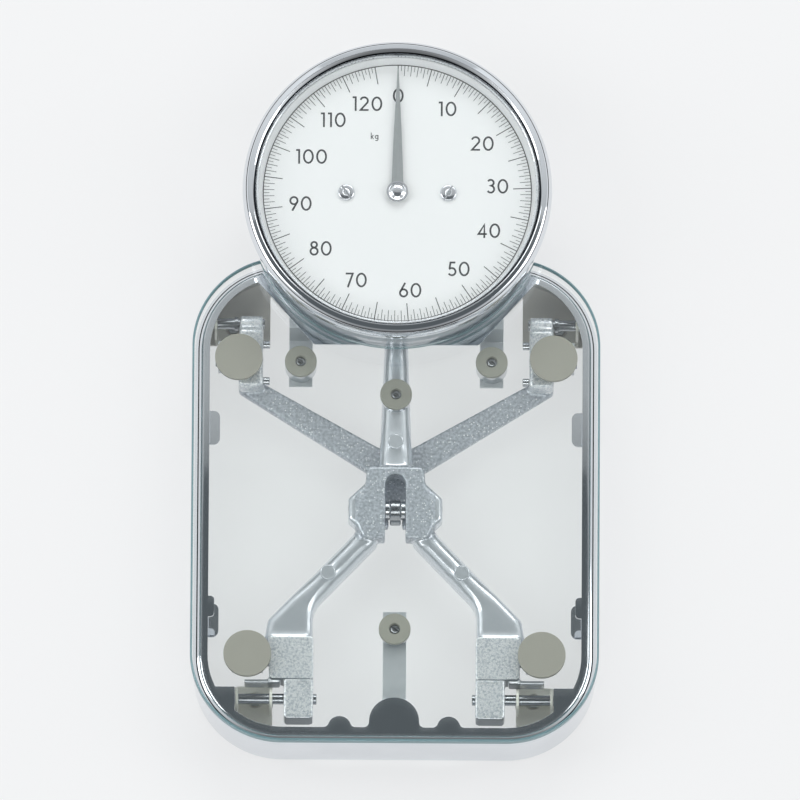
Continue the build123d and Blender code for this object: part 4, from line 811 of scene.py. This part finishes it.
clear_glass = clear_pane("clear_toughened_glass", "#A9D6CF", 6.0, "#F7FAF9")
glass_low, glass_high = (Vector(corner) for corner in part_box("glass_platform"))
glass_corner = 68.0 * mm
ground_edge = 1.5 * mm
broken_edge = 0.4 * mm
head_middle = box_middle("bezel")
front_edge_y = glass_low.y
horn_reach = 41.1 * mm
rear_edge_y = head_middle.y - horn_reach
cutout_radius = 110.0 * mm
bpy.ops.mesh.primitive_plane_add(
    size=1, location=(0, (front_edge_y + rear_edge_y) / 2, glass_low.z)
)
platform = bpy.context.object
platform.name = "clear_glass_platform"
platform.scale = (glass_high.x - glass_low.x, rear_edge_y - front_edge_y, 1)
bpy.ops.object.transform_apply(location=True, rotation=True, scale=True)
bpy.ops.object.mode_set(mode="EDIT")
bpy.ops.mesh.select_all(action="SELECT")
bpy.ops.mesh.bevel(offset=glass_corner, segments=40, affect="VERTICES")
bpy.ops.mesh.select_all(action="SELECT")
bpy.ops.mesh.extrude_region_move(
    TRANSFORM_OT_translate={"value": (0, 0, glass_high.z - glass_low.z)}
)
bpy.ops.mesh.select_all(action="SELECT")
bpy.ops.mesh.normals_make_consistent(inside=False)
bpy.ops.object.mode_set(mode="OBJECT")
apply_modifier(
    platform, "BEVEL", width=ground_edge, segments=3, limit_method="ANGLE",
    angle_limit=math.radians(50),
)
bpy.ops.mesh.primitive_cylinder_add(
    vertices=256, radius=cutout_radius, depth=0.05,
    location=(0, head_middle.y, (glass_low.z + glass_high.z) / 2)
)
cutter = bpy.context.object
apply_modifier(platform, "BOOLEAN", operation="DIFFERENCE", object=cutter, solver="EXACT")
bpy.data.objects.remove(cutter)
apply_modifier(
    platform, "BEVEL", width=broken_edge, segments=2, limit_method="ANGLE",
    angle_limit=math.radians(50),
)
finish_mesh(platform, 40)
take_place(platform, clear_glass, "platform_glass", "glass_platform")
ground_glass, tree, out = new_material("ground_glass_edge")
grinding = noise_on(tree, 700.0, 2.0)
edge_tone = tone_between(tree, grinding, "#6A8D95", "#7E9FA5")
frosted = add_node(
    tree, "ShaderNodeBsdfPrincipled", {"Base Color": edge_tone.outputs[2]},
    in_Roughness=0.3, in_IOR=1.5, in_Transmission_Weight=0.2,
)
tree.links.new(frosted.outputs[0], out.inputs["Surface"])
platform.data.materials.append(ground_glass)
for face in platform.data.polygons:
    face.material_index = 0 if abs(face.normal.z) > 0.99 else 1

# Drum of the dial head: drawn from sheet steel, satin chromed, so that it shines softer than the
# base, and screwed down on the tongue.
satin_chrome = metal_finish(
    "satin_chromed_drum", "#DADFE5", "#E8ECF0", 0.12, 20.0, 6, metallic=0.15
)
made_piece("dial_housing", "chromed_drum", satin_chrome, "head_enamel", 0.3)
made_piece("head_screws", "drum_screws", zinc_plate, "zinc_plated_steel")

# Movement inside the head: zinc plated plates, brass posts, crank, rack and pinion, and two springs
# of drawn wire. It is hidden by the dial, so it keeps plain plated and machined finishes.
for node_name in (
    "movement_base", "movement_mid_plate", "movement_top_plate", "rack_guide", "zero_yoke",
    "yoke_brackets", "dial_seat", "crosshead", "pull_strip", "spring_top_nuts",
    "spring_bottom_nuts", "zero_nut",
):
    made_piece(node_name, "plated_" + node_name, zinc_plate, "zinc_plated_steel", 0.15)
brass = metal_finish("machined_brass", "#B3904A", "#D0AE66", 0.28, 1.5, 8)
for node_name in ("movement_posts", "dial_posts", "bell_crank", "rack", "pinion_shaft"):
    made_piece(node_name, "brass_" + node_name, brass, "brass", 0)
spring_wire = metal_finish("drawn_spring_wire", "#77797C", "#9A9DA0", 0.32, 1.0, 5)
for node_name in ("spring_left", "spring_right"):
    made_piece(node_name, "wound_" + node_name, spring_wire, "spring_steel", 0)

# Zero knob under the head: moulded in black plastic with a knurled rim for the fingers, and pushed
# on the lower end of its screw.
knob_plastic = moulded_finish("moulded_black_plastic", "#1A1A1B", "#262627", 0.45, 1.0, 12)
made_piece("zero_knob", "knurled_zero_knob", knob_plastic, "knob_plastic", 0.25)

# Dial: a disc of sheet aluminium, sprayed white and screwed down. The lacquer is smooth and satin,
# with a faint orange peel some 4 mm across.
white_lacquer, tree, out = new_material("white_lacquered_sheet")
peel = noise_on(tree, 250.0, 2.0)
lacquer_tone = tone_between(tree, peel, "#F5F6F6", "#F8F9F9")
peel_bump = add_node(
    tree, "ShaderNodeBump", {"Height": peel.outputs["Fac"]}, in_Strength=0.5, in_Distance=0.00001
)
lacquer = add_node(
    tree, "ShaderNodeBsdfPrincipled",
    {"Base Color": lacquer_tone.outputs[2], "Normal": peel_bump.outputs[0]}, in_Roughness=0.4
)
tree.links.new(lacquer.outputs[0], out.inputs["Surface"])
made_piece("dial_plate", "lacquered_dial", white_lacquer, "dial_face", 0)

# Scale: printed on the dial in grey-black ink, 0 to 120 kg over 350 degrees, a mark for each half
# kilogram, longer ones for each kilogram and each fifth, and a line round their outer ends.
printing_ink, tree, out = new_material("screen_printed_ink")
cover = noise_on(tree, 1200.0, 2.0)
ink_tone = tone_between(tree, cover, "#2A2D30", "#383B3E")
ink = add_node(
    tree, "ShaderNodeBsdfPrincipled", {"Base Color": ink_tone.outputs[2]}, in_Roughness=0.5
)
tree.links.new(ink.outputs[0], out.inputs["Surface"])
dial_face_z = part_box("dial_plate")[1][2] / mm
scale_radius = 98.6
scale_sweep = 350.0
ink_thickness = 0.04


def mark_ring(name, count, length, width, layer):
    """A ring of like marks from zero round to full scale, clockwise."""
    middle_z = (dial_face_z + 0.01 * layer + ink_thickness / 2) * mm
    bpy.ops.mesh.primitive_cube_add(
        size=1, location=(0, head_middle.y + (scale_radius - length / 2) * mm, middle_z)
    )
    ring = bpy.context.object
    ring.name = name
    ring.scale = (width * mm, length * mm, ink_thickness * mm)
    bpy.ops.object.transform_apply(location=True, rotation=True, scale=True)
    bpy.ops.object.mode_set(mode="EDIT")
    bpy.ops.mesh.select_all(action="SELECT")
    bpy.ops.mesh.spin(
        steps=count - 1, dupli=True, angle=math.radians(scale_sweep),
        center=(0, head_middle.y, middle_z), axis=(0, 0, 1)
    )
    bpy.ops.object.mode_set(mode="OBJECT")
    return finish_mesh(ring)


def print_on_dial(piece):
    """Inks a piece and fixes it to the dial."""
    piece.data.materials.append(printing_ink)
    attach(piece, "base")


print_on_dial(mark_ring("half_kilogram_marks", 241, 4.4, 0.34, 1))
print_on_dial(mark_ring("kilogram_marks", 121, 8.1, 0.40, 2))
print_on_dial(mark_ring("five_kilogram_marks", 25, 13.4, 0.62, 3))
face_middle = (0, head_middle.y, 0)
edge_line = turned_piece(
    "scale_edge_line",
    [
        (scale_radius - 0.3, dial_face_z + 0.04), (scale_radius + 0.4, dial_face_z + 0.04),
        (scale_radius + 0.4, dial_face_z + 0.08), (scale_radius - 0.3, dial_face_z + 0.08),
    ],
    face_middle, (0, 0, 1), 180, closed=True,
)
print_on_dial(edge_line)

# Numerals: upright, in a plain geometric letter of even strokes, one for each ten kilograms, and a
# small unit. Each stroke is drawn as a flat ribbon, which keeps one width round every bend.
numeral_height = 11.3
unit_height = 5.0
stroke_width = 0.122


def bow(middle_x, middle_y, radius_x, radius_y, from_deg, to_deg):
    """Points along an arc, in shares of the numeral's height."""
    count = max(4, int(abs(to_deg - from_deg) / 12))
    angles = [math.radians(from_deg + (to_deg - from_deg) * i / count) for i in range(count + 1)]
    return [(middle_x + radius_x * math.cos(a), middle_y + radius_y * math.sin(a)) for a in angles]


letters = {
    "0": (0.72, [bow(0.36, 0.5, 0.29, 0.435, 90, 450)]),
    "1": (0.32, [[(0.02, 0.935), (0.22, 0.935), (0.22, 0)]]),
    "2": (0.64, [bow(0.31, 0.70, 0.24, 0.235, 165, -38) + [(0.08, 0.068), (0.60, 0.068)]]),
    "3": (
        0.56,
        [bow(0.27, 0.735, 0.195, 0.20, 150, -90) + bow(0.27, 0.30, 0.225, 0.235, 90, -150)[1:]],
    ),
    "4": (0.64, [[(0.46, 0), (0.46, 0.90), (0.08, 0.27), (0.62, 0.27)]]),
    "5": (
        0.58,
        [[(0.50, 0.935), (0.19, 0.935), (0.13, 0.54)] + bow(0.28, 0.31, 0.235, 0.245, 125, -150)],
    ),
    "6": (0.60, [bow(0.30, 0.31, 0.235, 0.245, 0, 360), [(0.085, 0.40), (0.40, 1.0)]]),
    "7": (0.54, [[(0.02, 0.935), (0.48, 0.935), (0.16, 0)]]),
    "8": (0.58, [bow(0.29, 0.745, 0.185, 0.19, 0, 360), bow(0.29, 0.30, 0.23, 0.235, 0, 360)]),
    "9": (0.60, [bow(0.30, 0.69, 0.235, 0.245, 0, 360), [(0.515, 0.60), (0.20, 0)]]),
    "k": (0.46, [[(0.08, 1), (0.08, 0)], [(0.40, 0.62), (0.10, 0.24)], [(0.19, 0.36), (0.42, 0)]]),
    "g": (
        0.56,
        [
            bow(0.28, 0.33, 0.20, 0.24, 0, 360),
            [(0.48, 0.62), (0.48, -0.02)] + bow(0.27, -0.04, 0.21, 0.18, 0, -140),
        ],
    ),
}


def ribbon(points, width):
    """Left and right edges of a stroke of even width along a line of points."""
    line = [Vector(p) for p in points]
    closed = (line[0] - line[-1]).length < 1e-4
    edges = []
    for i, point in enumerate(line):
        before = line[i - 1] if i > 0 else (line[-2] if closed else None)
        after = line[i + 1] if i < len(line) - 1 else (line[1] if closed else None)
        ways = []
        for a, b in ((before, point), (point, after)):
            if a is not None and b is not None:
                ways.append((b - a).normalized())
        across = sum((Vector((-way.y, way.x)) for way in ways), Vector((0, 0))).normalized()
        reach = width / 2 / max(0.45, across.dot(Vector((-ways[0].y, ways[0].x))))
        edges.append((point + across * reach, point - across * reach))
    return edges


def written(text, place_x, place_y, height):
    """Corner points and faces of a word centred on a place of the dial, in mm."""
    gap = 0.14
    total = sum(letters[c][0] for c in text) + gap * (len(text) - 1)
    pen = -total / 2
    corners, faces = [], []
    for character in text:
        advance, strokes = letters[character]
        for stroke in strokes:
            first = len(corners)
            for left, right in ribbon(stroke, stroke_width):
                for side in (left, right):
                    corners.append(
                        (place_x + (pen + side.x) * height, place_y + (side.y - 0.5) * height)
                    )
            for i in range(len(stroke) - 1):
                a = first + 2 * i
                faces.append((a, a + 1, a + 3, a + 2))
        pen += advance + gap
    return corners, faces


numeral_places = {
    "0": (0.2, 75.2), "10": (36.5, 65.2), "20": (62.3, 38.6), "30": (73.6, 5.7),
    "40": (67.4, -28.6), "50": (45.4, -58.2), "60": (9.9, -74.8), "70": (-29.9, -67.2),
    "80": (-56.1, -43.0), "90": (-71.2, -8.5), "100": (-63.4, 27.8), "110": (-47.6, 56.2),
    "120": (-22.5, 68.8),
}
words = [(text, x, y, numeral_height) for text, (x, y) in numeral_places.items()]
words.append(("kg", -17.0, 44.0, unit_height))
corners, faces = [], []
for text, x, y, height in words:
    new_corners, new_faces = written(text, x, y, height)
    faces += [tuple(i + len(corners) for i in face) for face in new_faces]
    corners += new_corners
mesh = bpy.data.meshes.new("numerals")
print_z = (dial_face_z + 0.02) * mm
mesh.from_pydata([(x * mm, head_middle.y + y * mm, print_z) for x, y in corners], [], faces)
numerals = bpy.data.objects.new("printed_numerals", mesh)
bpy.context.scene.collection.objects.link(numerals)
select_only(numerals)
bpy.ops.object.mode_set(mode="EDIT")
bpy.ops.mesh.select_all(action="SELECT")
bpy.ops.mesh.normals_make_consistent(inside=False)
bpy.ops.object.mode_set(mode="OBJECT")
if numerals.data.polygons[0].normal.z < 0:
    bpy.ops.object.mode_set(mode="EDIT")
    bpy.ops.mesh.flip_normals()
    bpy.ops.object.mode_set(mode="OBJECT")
apply_modifier(numerals, "SOLIDIFY", thickness=ink_thickness * mm, offset=1)
print_on_dial(numerals)

# Dial screws: turned steel cheese-heads with a slightly domed, slotted and chromed top, one each
# side of the pointer. They run down into the posts.
dial_screw_radius = 6.2
dial_screw_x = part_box("dial_screws")[1][0] / mm - dial_screw_radius
domes = []
for side, slot_deg in ((-1, 125), (1, 60)):
    head_foot = (side * dial_screw_x * mm, head_middle.y, 0)
    dome = turned_piece(
        "dome",
        [
            (0, dial_face_z - 0.5), (dial_screw_radius, dial_face_z - 0.5),
            (dial_screw_radius, dial_face_z + 1.3), (6.05, dial_face_z + 1.8),
            (5.6, dial_face_z + 2.2), (5.0, dial_face_z + 2.4), (3.0, dial_face_z + 2.5),
            (0, dial_face_z + 2.55),
        ],
        head_foot, (0, 0, 1), 48,
    )
    slot_place = (head_foot[0], head_foot[1], (dial_face_z + 2.6) * mm)
    domes.append(cut_slot(dome, slot_place, (14, 1.2, 2.2), slot_deg))
take_place(joined(domes, "domed_dial_screws"), bright_chrome, "bright_steel", "dial_screws")

# Pointer: stamped from sheet aluminium, its two flanks folded down from a ridge, so that one side
# is lighter than the other. Brushing leaves fine lines along it, drawn 0.6 mm apart.
pointer_metal = metal_finish(
    "brushed_grey_aluminium", "#959B9C", "#A9AEAF", 0.38, 0.6, 6, (1.0, 0.1, 1.0), metallic=0.5
)
pointer_low, pointer_high = (corner[2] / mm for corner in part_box("pointer"))
ridge = 0.5
root_half_width = 4.4
pointer_stations = ((5.0, root_half_width), (50.0, 2.7), (94.6, 0.35))
blank = []
for way, half_width in pointer_stations:
    fold = ridge * half_width / root_half_width
    blank += [
        (-half_width, way, pointer_low), (-half_width, way, pointer_high - fold),
        (0, way, pointer_high), (half_width, way, pointer_high - fold),
        (half_width, way, pointer_low),
    ]
sides = []
for first in (0, 5):
    for i in range(5):
        after = (i + 1) % 5
        sides.append((first + i, first + after, first + 5 + after, first + 5 + i))
mesh = bpy.data.meshes.new("pointer_blade")
ends = [(0, 1, 2, 3, 4), (14, 13, 12, 11, 10)]
mesh.from_pydata([(x * mm, head_middle.y + y * mm, z * mm) for x, y, z in blank], [], sides + ends)
blade = bpy.data.objects.new("pointer_blade", mesh)
bpy.context.scene.collection.objects.link(blade)
finish_mesh(blade, 5)
boss = turned_piece(
    "boss",
    [
        (1.5, pointer_low), (7.0, pointer_low), (7.0, pointer_high - 0.2), (6.8, pointer_high),
        (1.5, pointer_high),
    ],
    face_middle, (0, 0, 1), 64, closed=True,
)
take_place(joined([blade, boss], "folded_pointer"), pointer_metal, "pointer_metal", "pointer")

# Pointer cap: turned from bar and chromed, a domed button on a stepped flange. It covers the end of
# the pinion's shaft and rides with the pointer.
cap_low, cap_high = (corner[2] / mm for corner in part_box("pointer_cap"))
cap = turned_piece(
    "turned_pointer_cap",
    [
        (1.5, cap_low), (7.9, cap_low), (8.0, cap_low + 0.3), (7.9, cap_low + 0.7),
        (6.6, cap_low + 0.8), (6.2, cap_low + 0.6), (5.8, cap_low + 0.8), (4.9, cap_high - 0.9),
        (4.4, cap_high - 0.5), (3.2, cap_high - 0.1), (1.6, cap_high), (0, cap_high),
        (0, cap_high - 1.4), (1.5, cap_high - 1.4),
    ],
    face_middle, (0, 0, 1), 64, closed=True,
)
take_place(cap, bright_chrome, "bright_steel", "pointer_cap")

# Reveal ring and gasket: the ring is pressed and sprayed pale grey, and slopes from the dial up to
# the crystal. The rubber gasket seals the crystal on it.
reveal_enamel = moulded_finish("pale_grey_stove_enamel", "#F0F2F3", "#F5F6F7", 0.30, 3.0, 4)
ring_low, ring_high = (corner[2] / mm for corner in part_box("dial_ring"))
reveal = turned_piece(
    "enamelled_reveal_ring",
    [
        (99.2, ring_low), (99.4, ring_low + 0.5), (102.0, ring_high - 0.4), (102.4, ring_high),
        (107.0, ring_high), (107.0, ring_high - 3.0), (105.5, ring_high - 3.0), (105.5, ring_low),
    ],
    face_middle, (0, 0, 1), 180, closed=True,
)
take_place(reveal, reveal_enamel, "reveal_enamel", "dial_ring")
made_piece("crystal_gasket", "rubber_gasket", black_rubber, "black_rubber", 0)

# Crystal: a flat disc of clear glass, its edges broken on a stone. It lies on its gasket, and the
# bezel holds it down.
crystal_glass = clear_pane("clear_watch_glass", "#CFE6E0", 2.0, "#F9FBFB")
crystal_low, crystal_high = (corner[2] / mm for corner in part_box("dial_crystal"))
crystal = turned_piece(
    "flat_crystal",
    [
        (0, crystal_low), (106.6, crystal_low), (107.0, crystal_low + 0.4),
        (107.0, crystal_high - 0.4), (106.6, crystal_high), (0, crystal_high),
    ],
    face_middle, (0, 0, 1), 180,
)
take_place(crystal, crystal_glass, "crystal_glass", "dial_crystal")

# Bezel: spun from brass sheet over a former and chromed like the base. Its crest stands near the
# inside of the rim: outwards it rounds over, inwards it slopes down hollow to a lip on the crystal.
bezel_low, bezel_high = (Vector(corner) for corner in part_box("bezel"))
bezel_radius = (bezel_high.x - bezel_low.x) / 2 / mm
bezel_bottom = bezel_low.z / mm
bezel_top = bezel_high.z / mm
bezel_inner = 103.2
crystal_seat_radius = 107.1


def arc_through(start, middle, end, count):
    """Points along the arc from start through middle to end."""
    (ax, ay), (bx, by), (cx, cy) = start, middle, end
    d = 2 * (ax * (by - cy) + bx * (cy - ay) + cx * (ay - by))
    aa, bb, cc = ax**2 + ay**2, bx**2 + by**2, cx**2 + cy**2
    ux = (aa * (by - cy) + bb * (cy - ay) + cc * (ay - by)) / d
    uy = (aa * (cx - bx) + bb * (ax - cx) + cc * (bx - ax)) / d
    radius = math.hypot(ax - ux, ay - uy)
    first, half, last = (math.atan2(y - uy, x - ux) for x, y in (start, middle, end))
    turn = (last - first) % (2 * math.pi)
    if (half - first) % (2 * math.pi) > turn:
        turn -= 2 * math.pi
    angles = [first + turn * i / count for i in range(count + 1)]
    return [(ux + radius * math.cos(angle), uy + radius * math.sin(angle)) for angle in angles]


outer_shoulder = (bezel_radius - 1.6, bezel_top - 3.2)
ring_outer = (bezel_radius - 4.3, bezel_top - 0.72)
ring_inner = (bezel_radius - 6.8, bezel_top - 0.22)
crest = (bezel_radius - 7.2, bezel_top - 0.02)
inner_lip = (bezel_radius - 7.7, bezel_top - 0.22)
lip_foot = (bezel_inner - 0.8, crystal_high + 1.9)
bezel_outline = (
    [(crystal_seat_radius, bezel_bottom)]
    + arc_through(
        (bezel_radius - 2.0, bezel_bottom), (bezel_radius, bezel_bottom + 6.5), outer_shoulder, 14
    )
    + arc_through(outer_shoulder, (bezel_radius - 2.75, bezel_top - 1.6), ring_outer, 8)[1:]
    + [ring_inner]
    + arc_through(ring_inner, crest, inner_lip, 8)[1:]
    + arc_through(inner_lip, (bezel_radius - 9.85, bezel_top - 2.1), lip_foot, 8)[1:]
    + [
        (bezel_inner - 1.05, crystal_high + 1.5), (bezel_inner - 1.1, crystal_high + 0.05),
        (crystal_seat_radius, crystal_high + 0.05),
    ]
)
bezel = turned_piece("spun_bezel", bezel_outline, face_middle, (0, 0, 1), 200, closed=True)
take_place(bezel, bright_chrome, "chrome_sheet", "bezel")
